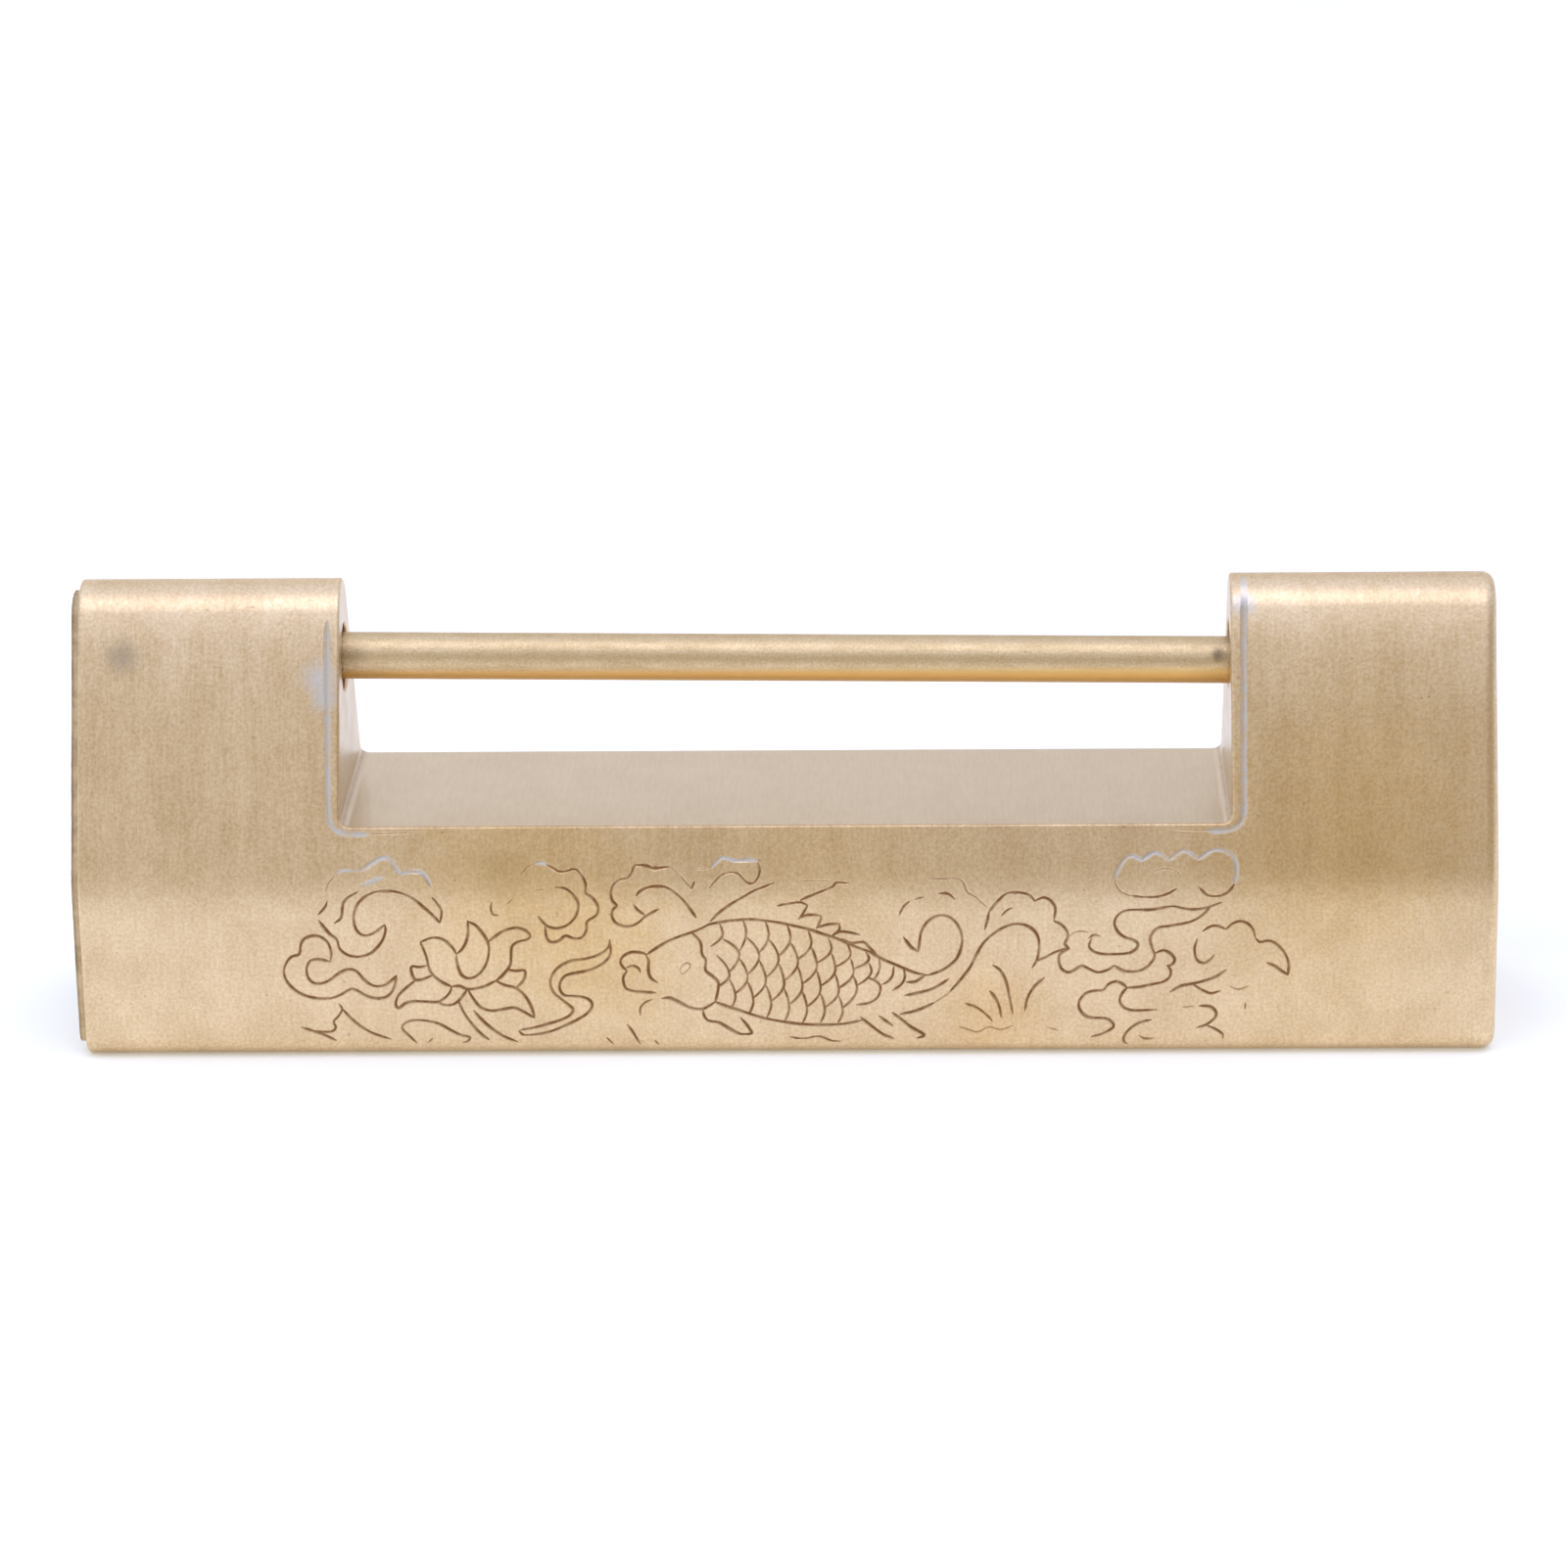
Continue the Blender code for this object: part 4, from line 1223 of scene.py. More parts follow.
    def _notch_rim(self, rows: Array, floor: float) -> NotchRim:
        """Front edge of the notch, down the left cheek, along the floor and up the right cheek.

        Args:
            rows: Lengths s of the cheeks' rows, from the corner to the ridge.
            floor: Length s of the floor.

        Returns:
            The edge, with its starts on the skin and on the notch's wall.
        """
        section, corner = self.section, self.notch_corner
        turn = np.linspace(0, QUARTER, 9)
        count = len(rows)
        left = np.column_stack([np.full(count, self.notch_left), rows[::-1]])
        right = np.column_stack([np.full(count, self.notch_right), rows])
        drop = floor + corner - corner * np.sin(turn)
        left_turn = np.column_stack([self.notch_left + corner * (1 - np.cos(turn)), drop])[1:]
        right_turn = np.column_stack([self.notch_right - corner * (1 - np.cos(turn)), drop])[::-1][:-1]
        flat = np.concatenate([left, left_turn, right_turn, right])
        round_part = turn[1:]
        angle = np.concatenate([np.zeros(count), round_part, round_part[::-1], np.zeros(count)])
        half = len(angle) // 2
        sign = np.where(np.arange(len(angle)) < half, 1.0, -1.0)
        size = self.cheek_bevel + (self.floor_bevel - self.cheek_bevel) * np.sin(angle) ** 2
        skin_flat = flat - size[:, None] * np.column_stack([sign * np.cos(angle), np.sin(angle)])
        skin_place, _ = section.place(skin_flat[:, 1])
        place, out = section.place(flat[:, 1])
        edge = on_front(flat[:, 0], place)
        skin_normal = on_front(0.0, out)
        low = floor + corner
        lift = ease(flat[:, 1], low, low + self.inward_rise)[:, None]
        inward = unit((1 - lift) * np.array([0, 1.0, 0]) - lift * skin_normal)
        return NotchRim(
            cheek=count,
            flat=skin_flat,
            skin=on_front(skin_flat[:, 0], skin_place),
            edge=edge,
            wall=edge + size[:, None] * inward,
            skin_normal=skin_normal,
            wall_normal=np.column_stack([sign * np.cos(angle), np.zeros(len(flat)), np.sin(angle)]),
        )

    def _bevel(self, side: float) -> Patch:
        """Rounded edge of the notch: a conic from the skin to the wall whose handle is the sharp edge.

        Dirt has settled where it faces up.

        Args:
            side: 1 for the front, -1 for the back.

        Returns:
            The patch.
        """
        rim = self.rim
        t = np.linspace(0, 1, 8)[None, :, None]
        turn = np.sum(rim.skin_normal * rim.wall_normal, axis=1)
        weight = np.sqrt((1 + turn) / 2)[:, None, None]
        skin, edge, wall = (points[:, None] for points in (rim.skin, rim.edge, rim.wall))
        below = (1 - t) ** 2 + 2 * t * (1 - t) * weight + t**2
        points = ((1 - t) ** 2 * skin + 2 * t * (1 - t) * weight * edge + t**2 * wall) / below
        angle = np.arccos(np.clip(turn, -1, 1))[:, None, None]
        share = np.sin((1 - t) * angle), np.sin(t * angle)
        normals = unit(share[0] * rim.skin_normal[:, None] + share[1] * rim.wall_normal[:, None])
        mirror = np.array([1.0, side, 1.0])
        patch = grid_patch(points * mirror, normals * mirror)
        patch.marks[:, 0] = np.repeat(self.bevel_dirt * rim.wall_normal[:, 2] ** 2, points.shape[1])
        return patch

    def _corner_fans(self) -> list[Patch]:
        """Skin of the back between the notch's lower corners and the grid: a fan over each corner's curve.

        Returns:
            The left and the right fan.
        """
        rim = self.rim
        count, total = rim.cheek, len(rim.edge)
        spans = (slice(count - 1, total // 2), slice(total // 2, total - count + 1))
        place, out = self.section.place(np.array([self.foot]))
        normal = on_front(0.0, out)[0] * TO_BACK
        hubs = (self.notch_left - self.cheek_bevel, self.notch_right + self.cheek_bevel)
        fans = []
        for span, x in zip(spans, hubs):
            hub = on_front(x, place)[0] * TO_BACK
            fans.append(fan_patch(hub, rim.skin[span] * TO_BACK, normal))
        return fans

    def _notch_floor(self) -> Patch:
        """Floor of the notch and its two corners: straight lines from the front edge to the back edge.

        It is darker in the corners' curves.

        Returns:
            The patch.
        """
        rim = self.rim
        span = slice(rim.cheek - 1, len(rim.wall) - rim.cheek + 1)
        normal = rim.wall_normal[span]
        points = drawn_across(rim.wall[span], np.linspace(1, -1, self.floor_steps + 1))
        # The floor carries the notch's cast of dust and painted sheen.
        patch = grid_patch(points, np.broadcast_to(normal[:, None], points.shape), notch_dust_and_sheen=1.0)
        hollow = (2 * normal[:, 0] * normal[:, 2]) ** 4
        patch.marks[:, 0] = np.repeat(self.corner_darkening * hollow, points.shape[1])
        return patch

    def _cheek_loop(self, left: bool) -> Array:
        """Outline of a cheek's inner face: up the front, down the back and across the floor.

        Args:
            left: Whether it is the left cheek.

        Returns:
            Places round the face.
        """
        count, wall = self.rim.cheek, self.rim.wall
        front = wall[count - 1::-1] if left else wall[-count:]
        across = drawn_across(front[:1], np.linspace(-1, 1, self.floor_steps + 1)[1:-1])[0]
        return np.concatenate([front, front[::-1][1:] * TO_BACK, across])

    def _cheek_face(self, left: bool) -> list[Patch]:
        """Inner face of a cheek: rays from its outline to the bar's hole, then the hole's lip and bore.

        Args:
            left: Whether it is the left cheek.

        Returns:
            The face, the lip, the bore and, on the right, the bore's end.
        """
        loop = self._cheek_loop(left)
        facing = 1.0 if left else -1.0
        x = self.notch_left if left else self.notch_right
        ray = np.column_stack([np.zeros(len(loop)), self._rays(loop)])
        centre = np.array([x, 0, self.bore_height])
        lip = centre + (self.bore_radius + self.bore_lip) * ray
        share = np.linspace(0, 1, 5)[:, None, None]
        face = loop[None] * (1 - share) + lip[None] * share
        flat = np.broadcast_to(facing * ALONG, face.shape)
        turn = np.linspace(0, QUARTER, 5)[:, None, None]
        reach = self.bore_radius + self.bore_lip * (1 - np.sin(turn))
        round_lip = centre + reach * ray[None] - facing * self.bore_lip * (1 - np.cos(turn)) * ALONG
        lip_normal = np.cos(turn) * facing * ALONG - np.sin(turn) * ray[None]
        inner = centre + self.bore_radius * ray - facing * self.bore_lip * ALONG
        end = inner.copy()
        end[:, 0] = self.bolt_rebate if left else self.bore_end
        bore = np.stack([inner, end])
        # The cheek's inner face carries the notch's cast of dust and painted sheen.
        patches = [grid_patch(face, flat, closed=True, notch_dust_and_sheen=1.0)]
        patches.append(grid_patch(round_lip, lip_normal, closed=True))
        patches.append(grid_patch(bore, np.broadcast_to(-ray, bore.shape), closed=True))
        if not left:
            middle = np.array([self.bore_end, 0, self.bore_height])
            patches.append(fan_patch(middle, np.concatenate([end, end[:1]]), -ALONG))
        return patches

    def _rays(self, loop: Array) -> Array:
        """Directions from the bar's hole to places round it, as pairs of y and z."""
        angle = np.arctan2(loop[:, 2] - self.bore_height, loop[:, 1])
        return np.stack([np.cos(angle), np.sin(angle)], axis=1)

    def _rebate(self, insets: Pair, span: Pair, holes: list[Array]) -> list[Patch]:
        """One end: its rim, and the wall and floor of its plate's rebate.

        Args:
            insets: How far the rim's outer and inner edges are drawn in.
            span: Places of the rim and of the floor.
            holes: Outlines of the holes in the floor.

        Returns:
            The rim, the wall and the floor.
        """
        outer, inner = (self.section.outline(inset, self.rows) for inset in insets)
        face, floor = span
        facing = 1.0 if face > floor else -1.0
        return [
            carried_patch(np.stack([outer.places, inner.places]), inner.normals, [face] * 2, facing),
            carried_patch(np.stack([inner.places] * 2), -inner.normals, [face, floor], 0.0),
            flat_patch([inner.places, *holes], floor, facing),
        ]

    def _ends(self) -> list[Patch]:
        """The two ends with their rebates, and the bolt's chamber between them.

        Returns:
            The patches.
        """
        hole = self._rays(self._cheek_loop(True)) * self.bore_radius + [0, self.bore_height]
        chamber = rounded_rectangle(*self.chamber, self.chamber_corner, hole=True)
        bolt, keyhole = (self.left, self.bolt_rebate), (self.right, self.keyhole_rebate)
        patches = self._rebate((self.bolt_edge, self.bolt_wall), bolt, [hole, chamber.places])
        tube = np.stack([chamber.places] * 2)
        patches.append(carried_patch(tube, chamber.normals, [bolt[1], keyhole[1]], 0.0))
        return patches + self._rebate((self.keyhole_edge, self.keyhole_wall), keyhole, [chamber.places])


@dataclass
class ShackleBar:
    """The round bar, drawn rod with a rounded tip, that lies loose and sinks towards the keyhole end."""

    radius: float = 1.5
    tenon_radius: float = 1.3
    tenon_face: float = -45.0
    tenon_round: float = 0.12
    shoulder: float = -43.8
    tip: float = 36.9
    tip_round: float = 0.55
    hole_height: float = 24.05
    pivot: float = -19.9
    sink: float = 0.62
    sides: int = 64

    @property
    def frame(self) -> Array:
        """Placement of the bar's axis: turned about the pivot by the angle that sinks its tip.

        Returns:
            A four by four matrix.
        """
        turn = Matrix.Rotation(math.asin(self.sink / (self.tip - self.pivot)), 4, "Y")
        to_hole = Matrix.Translation((0, 0, self.hole_height))
        pivot = Matrix.Translation((self.pivot, 0, self.hole_height))
        return np.array(pivot @ turn @ pivot.inverted() @ to_hole)

    def build(self, material: Material) -> Piece:
        """Turn the bar's profile about its axis: tenon, shoulder, barrel, rounded tip and its face.

        Args:
            material: Its finish.

        Returns:
            The piece.
        """
        turn = np.linspace(0, QUARTER, 7)
        thin = self.tenon_radius
        rise = self.tenon_face + self.tenon_round * (1 - np.sin(turn))
        dome = np.column_stack([rise, thin * np.cos(turn)])
        tenon = np.array([[self.tenon_face + self.tenon_round, thin], [self.shoulder, thin]])
        step = np.array([[self.shoulder, thin], [self.shoulder, self.radius]])
        bend = self.tip - self.tip_round
        straight = np.linspace(self.shoulder, bend, 24)
        barrel = np.column_stack([straight, np.full(len(straight), self.radius)])
        drop = self.radius - self.tip_round * (1 - np.cos(turn))
        nose = np.column_stack([bend + self.tip_round * np.sin(turn), drop])
        face = np.array([[self.tip, self.radius - self.tip_round], [self.tip, 0.0]])
        runs = [dome[::-1], tenon, step, barrel, nose, face]
        return Shell(turned_patches(runs, self.sides, self.frame)).build("drawn_bar", material)


@dataclass(frozen=True)
class Plate:
    """Sizes of a plate across the lock.

    Attributes:
        start: Place of its face towards -X.
        end: Place of its face towards +X.
        inset: How far it is drawn in from the case's outline.
        edge: Radius of its edges.
        slot: Width, height and corner radius of its slot.
    """

    start: float
    end: float
    inset: float
    edge: float
    slot: Triple

    def patches(self, outer: Outline, holes: list[Outline]) -> list[Patch]:
        """Patches of the plate's skin, from its outline and its holes."""
        return plate_patches(outer, holes, self.start, self.end, self.edge)


@dataclass
class ClosingPlates:
    """The three plates across the lock: the bolt's end plate, the throat and the keyhole plate."""

    section: CaseSection = field(default_factory=CaseSection)
    bar: ShackleBar = field(default_factory=ShackleBar)
    bolt_plate: Plate = Plate(-45.0, -43.8, 0.72, 0.12, (2.32, 3.92, 0.3))
    throat_plate: Plate = Plate(-43.5, -41.5, 0.62, 0.15, (7.0, 5.6, 0.35))
    keyhole_plate: Plate = Plate(43.4, 44.9, 1.44, 0.18, (10.0, 4.8, 0.5))
    stem_middle: float = 7.0
    tenon_play: float = 0.06
    throat_bore: float = 2.2
    bore_sides: int = 48
    rim_waves: Pair = (0.05, 0.04)

    def _slot(self, plate: Plate) -> Outline:
        """Outline of a plate's slot, in line with the stem."""
        width, height, radius = plate.slot
        return rounded_rectangle(width, height, self.stem_middle, radius, hole=True)

    def _bore(self, radius: float, height: float) -> Outline:
        """Outline of a round hole in a plate, at a height above the base."""
        return circle_outline(radius, (0.0, height), self.bore_sides, hole=True)

    def bolt_end(self, material: Material) -> Piece:
        """Thin raw plate that shows at the bolt end, with holes for two tenons.

        Its rim is rough: two waves of different length move it in and out.

        Args:
            material: Its finish.

        Returns:
            The piece.
        """
        rows = np.unique(np.concatenate([self.section.rows(), np.linspace(2, 27, 90)]))
        plain = self.section.outline(self.bolt_plate.inset, rows)
        run = np.arange(len(plain.places))
        rough = self.rim_waves[0] * np.sin(1.7 * run) * np.sin(0.53 * run + 1)
        rough += self.rim_waves[1] * np.sin(0.21 * run)
        outer = Outline(plain.places - rough[:, None] * plain.normals, plain.normals)
        height = (self.bar.frame @ np.array([self.bar.tenon_face, 0, 0, 1]))[2]
        holes = [self._bore(self.bar.tenon_radius + self.tenon_play, height), self._slot(self.bolt_plate)]
        return Shell(self.bolt_plate.patches(outer, holes)).build("raw_end_plate", material)

    def throat(self, material: Material) -> Piece:
        """Inner wall whose slot the leaves catch behind.

        Args:
            material: Its finish.

        Returns:
            The piece.
        """
        outer = self.section.outline(self.throat_plate.inset)
        holes = [self._slot(self.throat_plate), self._bore(self.throat_bore, self.bar.hole_height)]
        return Shell(self.throat_plate.patches(outer, holes)).build("throat_wall", material)

    def keyhole(self, material: Material) -> Piece:
        """Plate that closes the other end, with the slot for the key.

        Args:
            material: Its finish.

        Returns:
            The piece.
        """
        outer = self.section.outline(self.keyhole_plate.inset)
        holes = [self._slot(self.keyhole_plate)]
        return Shell(self.keyhole_plate.patches(outer, holes)).build("keyhole_cover", material)


@dataclass
class SpringBolt:
    """The stem with its two leaves and two rivets."""

    middle: float = 7.0
    stem_start: float = -45.0
    stem_shoulder: float = -43.8
    stem_tip: float = 14.2
    stem_size: Pair = (3.0, 5.0)
    stem_corner: float = 0.35
    tenon_size: Pair = (2.2, 3.8)
    tenon_corner: float = 0.28
    tenon_edge: float = 0.1
    stem_taper: float = 1.2
    stem_slimming: float = 0.22
    stem_straight: float = 50.0
    stem_gap: float = 0.02
    rivet_place: float = 10.8
    rivet_spacing: float = 2.4
    rivet_reach: float = 2.55
    head_radius: float = 0.95
    head_rise: float = 0.62
    shank_radius: float = 0.5
    rivet_sides: int = 40
    leaf_root: float = 12.8
    leaf_tip: float = -41.1
    leaf_root_middle: float = 2.05
    leaf_tip_middle: float = 4.25
    leaf_thickness: float = 0.5
    leaf_height: float = 4.4
    leaf_edge: float = 0.2
    leaf_bend: float = 1.2
    leaf_corner: Pair = (0.14, 0.35)

    def stem(self, material: Material) -> Piece:
        """Flat stem: a rounded rectangle carried along X, stepped down to its tenon and eased at its tip.

        Args:
            material: Its finish.

        Returns:
            The piece.
        """
        tenon = rounded_rectangle(*self.tenon_size, self.middle, self.tenon_corner)
        full = rounded_rectangle(*self.stem_size, self.middle, self.stem_corner)
        turn = np.linspace(0, QUARTER, 8)
        straight = self.stem_shoulder + self.stem_gap + np.linspace(0, 1, 6) * self.stem_straight
        x = np.concatenate([straight, self.stem_tip - self.stem_taper + self.stem_taper * np.sin(turn)])
        slim = np.concatenate([np.ones(6), 1 - self.stem_slimming * (1 - np.cos(turn))])
        flats = (full.places - [0, self.middle])[None] * slim[:, None, None] + [0, self.middle]
        patches = plate_patches(tenon, [], self.stem_start, self.stem_shoulder, self.tenon_edge)
        return Shell(patches + swept_patches(placed(x, flats))).build("bolt_stem", material)

    def leaf(self, name: str, side: float, material: Material) -> Piece:
        """One leaf: a strip with rounded edges, flat at its rivets and bent smoothly out to its tip.

        Its middle follows a soft ramp, the logarithm of one plus a power of the length from the rivets.

        Args:
            name: Name of the piece.
            side: -1 in front of the stem, 1 behind it.
            material: Its finish.

        Returns:
            The piece.
        """
        x = np.linspace(self.leaf_root, self.leaf_tip, 70)
        spread = (self.leaf_tip_middle - self.leaf_root_middle) / (self.rivet_place - self.leaf_tip)
        run = (self.rivet_place - x) / self.leaf_bend
        ramp = np.logaddexp(0, run * 2) / 2 - math.log(2) / 2 * np.exp(-np.abs(run))
        y = self.leaf_root_middle + spread * self.leaf_bend * ramp
        edge = rounded_rectangle(self.leaf_thickness, self.leaf_height, 0.0, self.leaf_edge).places
        from_end = np.minimum(self.leaf_root - x, x - self.leaf_tip)
        tall = 1 - self.leaf_corner[0] * np.exp(-from_end / self.leaf_corner[1])
        rings = np.empty((len(x), len(edge), 3))
        rings[..., 0] = x[:, None]
        rings[..., 1] = side * (y[:, None] + edge[None, :, 0])
        rings[..., 2] = self.middle + edge[None, :, 1] * tall[:, None]
        return Shell(swept_patches(rings)).build(name, material)

    def rivet(self, name: str, place: float, material: Material) -> Piece:
        """Rivet with a low domed head on each side, turned about an axis across the lock.

        Args:
            name: Name of the piece.
            place: 1 for the upper rivet, -1 for the lower.
            material: Its finish.

        Returns:
            The piece.
        """
        turn = np.linspace(0, QUARTER, 9)
        reach, thin, wide = self.rivet_reach, self.shank_radius, self.head_radius
        head = np.column_stack([reach + self.head_rise * np.sin(turn), wide * np.cos(turn)])
        under = np.array([[reach, thin], [reach, wide]])
        shank = np.array([[-reach, thin], [reach, thin]])
        mirror = np.array([-1.0, 1.0])
        frame = Matrix.Rotation(QUARTER, 4, "Z")
        frame.translation = Vector((self.rivet_place, 0, self.middle + place * self.rivet_spacing / 2))
        runs = [(head * mirror)[::-1], (under * mirror)[::-1], shank, under, head]
        return Shell(turned_patches(runs, self.rivet_sides, np.array(frame))).build(name, material)


# Finishes


@dataclass
class Graph:
    """A node tree, with short ways to add nodes and to join them.

    Attributes:
        tree: The tree.
    """

    tree: bpy.types.NodeTree

    def add(self, kind: str, feeds: dict | None = None, **settings: object) -> bpy.types.Node:
        """Add a node, set its own fields and feed its inputs.

        Args:
            kind: Its type.
            feeds: Names or numbers of inputs, each with a socket or a plain value.
            settings: Fields and their values.

        Returns:
            The node.
        """
        node = self.tree.nodes.new(kind)
        for key, value in settings.items():
            setattr(node, key, value)
        for key, value in (feeds or {}).items():
            self.put(node.inputs[key], value)
        return node

    def put(self, target: Socket, value: object) -> None:
        """Link a socket or set a plain value.

        Args:
            target: Input that is fed.
            value: Another socket, a number or a tuple.
        """
        if isinstance(value, Socket):
            self.tree.links.new(value, target)
        else:
            target.default_value = value

    def math(self, operation: str, first: object, second: object) -> Socket:
        """Join two values, each a socket or a number, by Blender's name of the operation."""
        return self.add("ShaderNodeMath", {0: first, 1: second}, operation=operation).outputs[0]

    def times(self, first: object, second: object) -> Socket:
        """Product of two values."""
        return self.math("MULTIPLY", first, second)

    def plus(self, first: object, second: object) -> Socket:
        """Sum of two values."""
        return self.math("ADD", first, second)

    def span(self, value: Socket, low: float, high: float, to: Pair = (0.0, 1.0)) -> Socket:
        """Smooth step of a value from one range to another.

        Args:
            value: The value.
            low: Where it begins.
            high: Where it ends.
            to: Results at both.

        Returns:
            The result.
        """
        feeds = {"Value": value, "From Min": low, "From Max": high, "To Min": to[0], "To Max": to[1]}
        return self.add("ShaderNodeMapRange", feeds, interpolation_type="SMOOTHSTEP").outputs["Result"]

    def mix(self, share: object, first: object, second: object, blend: str = "MIX") -> Socket:
        """Mix two colours.

        Args:
            share: How much of the second.
            first: Socket or colour.
            second: Socket or colour.
            blend: Blender's name of the mix.

        Returns:
            The colour.
        """
        first, second = (c if isinstance(c, Socket) else (*c, 1.0) for c in (first, second))
        feeds = {0: share, 6: first, 7: second}
        return self.add("ShaderNodeMix", feeds, data_type="RGBA", blend_type=blend).outputs[2]

    def stretch(
        self,
        vector: Socket,
        scale: Triple = (1.0, 1.0, 1.0),
        turn: Triple = (0.0, 0.0, 0.0),
        shift: Triple = (0.0, 0.0, 0.0),
    ) -> Socket:
        """Scale, turn and shift a place.

        Args:
            vector: The place.
            scale: Scale along each axis.
            turn: Turn about each axis, in radians.
            shift: Shift along each axis.

        Returns:
            The new place.
        """
        feeds = {"Vector": vector, "Location": shift, "Rotation": turn, "Scale": scale}
        return self.add("ShaderNodeMapping", feeds).outputs["Vector"]

    def noise(
        self,
        vector: Socket,
        scale: object,
        detail: float = 4.0,
        rough: float = 0.6,
        bend: float = 0.0,
    ) -> Socket:
        """Cloudy noise.

        Args:
            vector: Place.
            scale: Grains in a metre.
            detail: Octaves.
            rough: Strength of the finer octaves.
            bend: Distortion.

        Returns:
            A value about one half.
        """
        feeds = {"Vector": vector, "Scale": scale, "Detail": detail, "Roughness": rough, "Distortion": bend}
        return self.add("ShaderNodeTexNoise", feeds).outputs["Fac"]

    def parts(self, vector: Socket) -> bpy.types.NodeOutputs:
        """X, Y and Z of a place."""
        return self.add("ShaderNodeSeparateXYZ", {0: vector}).outputs


class Effects:
    """Node groups that the finishes share, each built once."""

    def __init__(self) -> None:
        """Build every group."""
        self.brushing = self._brushing()
        self.mottling = self._mottling()
        self.hairlines = self._hairlines()
        self.spot = self._spot()

    @staticmethod
    def _start(name: str, inputs: dict[str, float | None], *outputs: str) -> tuple[Graph, list, dict]:
        """Open a group with named sockets.

        Args:
            name: Its name.
            inputs: Names and starting values: a number, or None for a place.
            outputs: Names of its values.

        Returns:
            The graph, the sockets of its inputs, and those that its outputs are put into.
        """
        tree = bpy.data.node_groups.new(name, "ShaderNodeTree")
        for label, value in inputs.items():
            kind = "NodeSocketVector" if value is None else "NodeSocketFloat"
            socket = tree.interface.new_socket(label, in_out="INPUT", socket_type=kind)
            if value is not None:
                socket.default_value = value
        for label in outputs:
            tree.interface.new_socket(label, in_out="OUTPUT", socket_type="NodeSocketFloat")
        graph = Graph(tree)
        given, made = graph.add("NodeGroupInput"), graph.add("NodeGroupOutput")
        targets = {label: made.inputs[label] for label in outputs}
        return graph, [given.outputs[label] for label in inputs], targets

    def _brushing(self) -> bpy.types.NodeTree:
        """Streaks left by a brush that ran across the first axis: noise drawn out along the other two.

        Returns:
            The group.
        """
        inputs = {"Place": None, "Fineness": 5000.0}
        graph, (place, fineness), made = self._start("brush_streaks", inputs, "Streaks", "Bands")
        fine = graph.noise(graph.stretch(place, (1.0, 0.09, 0.09)), fineness, rough=0.7)
        shifted = graph.stretch(place, (1.0, 0.12, 0.12), shift=(0.3, 0.1, 0.2))
        bands = graph.noise(shifted, graph.times(fineness, 0.11), detail=3.0, rough=0.55)
        graph.put(made["Streaks"], graph.span(fine, 0.3, 0.7))
        graph.put(made["Bands"], graph.span(bands, 0.3, 0.7))
        return graph.tree

    def _mottling(self) -> bpy.types.NodeTree:
        """Cloudy patches of handling, an even fine grain, and small pits where a cell pattern is deepest.

        Returns:
            The group.
        """
        inputs = {"Place": None, "Size": 260.0}
        graph, (place, size), made = self._start("handling_mottle", inputs, "Patches", "Grain", "Pits")
        patches = graph.noise(place, size, detail=6.0, rough=0.62, bend=0.4)
        feeds = {"Vector": place, "Scale": graph.times(size, 5.5)}
        cells = graph.add("ShaderNodeTexVoronoi", feeds, feature="F1").outputs["Distance"]
        rare = graph.noise(place, graph.times(size, 2.3), detail=2.0, rough=0.5)
        grain = graph.noise(place, graph.times(size, 18.0), detail=3.0, rough=0.65)
        pits = graph.times(graph.span(cells, 0.04, 0.2, (1.0, 0.0)), graph.span(rare, 0.5, 0.62))
        graph.put(made["Patches"], graph.span(patches, 0.32, 0.68))
        graph.put(made["Grain"], graph.span(grain, 0.3, 0.7))
        graph.put(made["Pits"], pits)
        return graph.tree

    def _hairlines(self) -> bpy.types.NodeTree:
        """Fine scratches in three directions: the peaks of noises drawn out along a slanted line.

        Returns:
            The group.
        """
        inputs = {"Place": None, "Fineness": 2600.0}
        graph, (place, fineness), made = self._start("hair_scratches", inputs, "Scratches")
        lines = []
        for turn, shift in ((0.5, 0.0), (-0.75, 0.4), (1.35, 0.9)):
            slanted = graph.stretch(place, (1.0, 0.1, 1.0), turn=(0.0, turn, 0.0), shift=(shift, 0.0, 0.0))
            drawn = graph.stretch(slanted, (1.0, 1.0, 0.11))
            lines.append(graph.span(graph.noise(drawn, fineness, detail=2.0, rough=0.5), 0.64, 0.76))
        most = graph.math("MAXIMUM", graph.math("MAXIMUM", lines[0], lines[1]), lines[2])
        graph.put(made["Scratches"], most)
        return graph.tree

    def _spot(self) -> bpy.types.NodeTree:
        """One soft stain: it fades with the distance from a place, unevenly at its edge.

        Returns:
            The group.
        """
        inputs = {"Place": None, "Middle": None, "Radius": 0.001}
        graph, (place, middle, radius), made = self._start("tarnish_spot", inputs, "Mask")
        apart = graph.add("ShaderNodeVectorMath", {0: place, 1: middle}, operation="DISTANCE")
        share = graph.math("DIVIDE", apart.outputs["Value"], radius)
        uneven = graph.times(graph.noise(place, 900.0, detail=3.0), 0.7)
        graph.put(made["Mask"], graph.span(graph.plus(share, uneven), 0.35, 1.35, (1.0, 0.0)))
        return graph.tree


class Laid(Enum):
    """How a stain lies on the brass, as the blend that draws it."""

    OVER = "MIX"
    TINT = "MULTIPLY"


@dataclass(frozen=True)
class Stain:
    """One soft spot of tarnish or of solder.

    Attributes:
        middle: Its place, in metres.
        radius: Where it has faded out, in metres.
        strength: How much it covers.
        colour: Its colour.
        laid: Whether it covers the brass or tints it.
    """

    middle: Triple
    radius: float
    strength: float
    colour: Colour
    laid: Laid = Laid.OVER


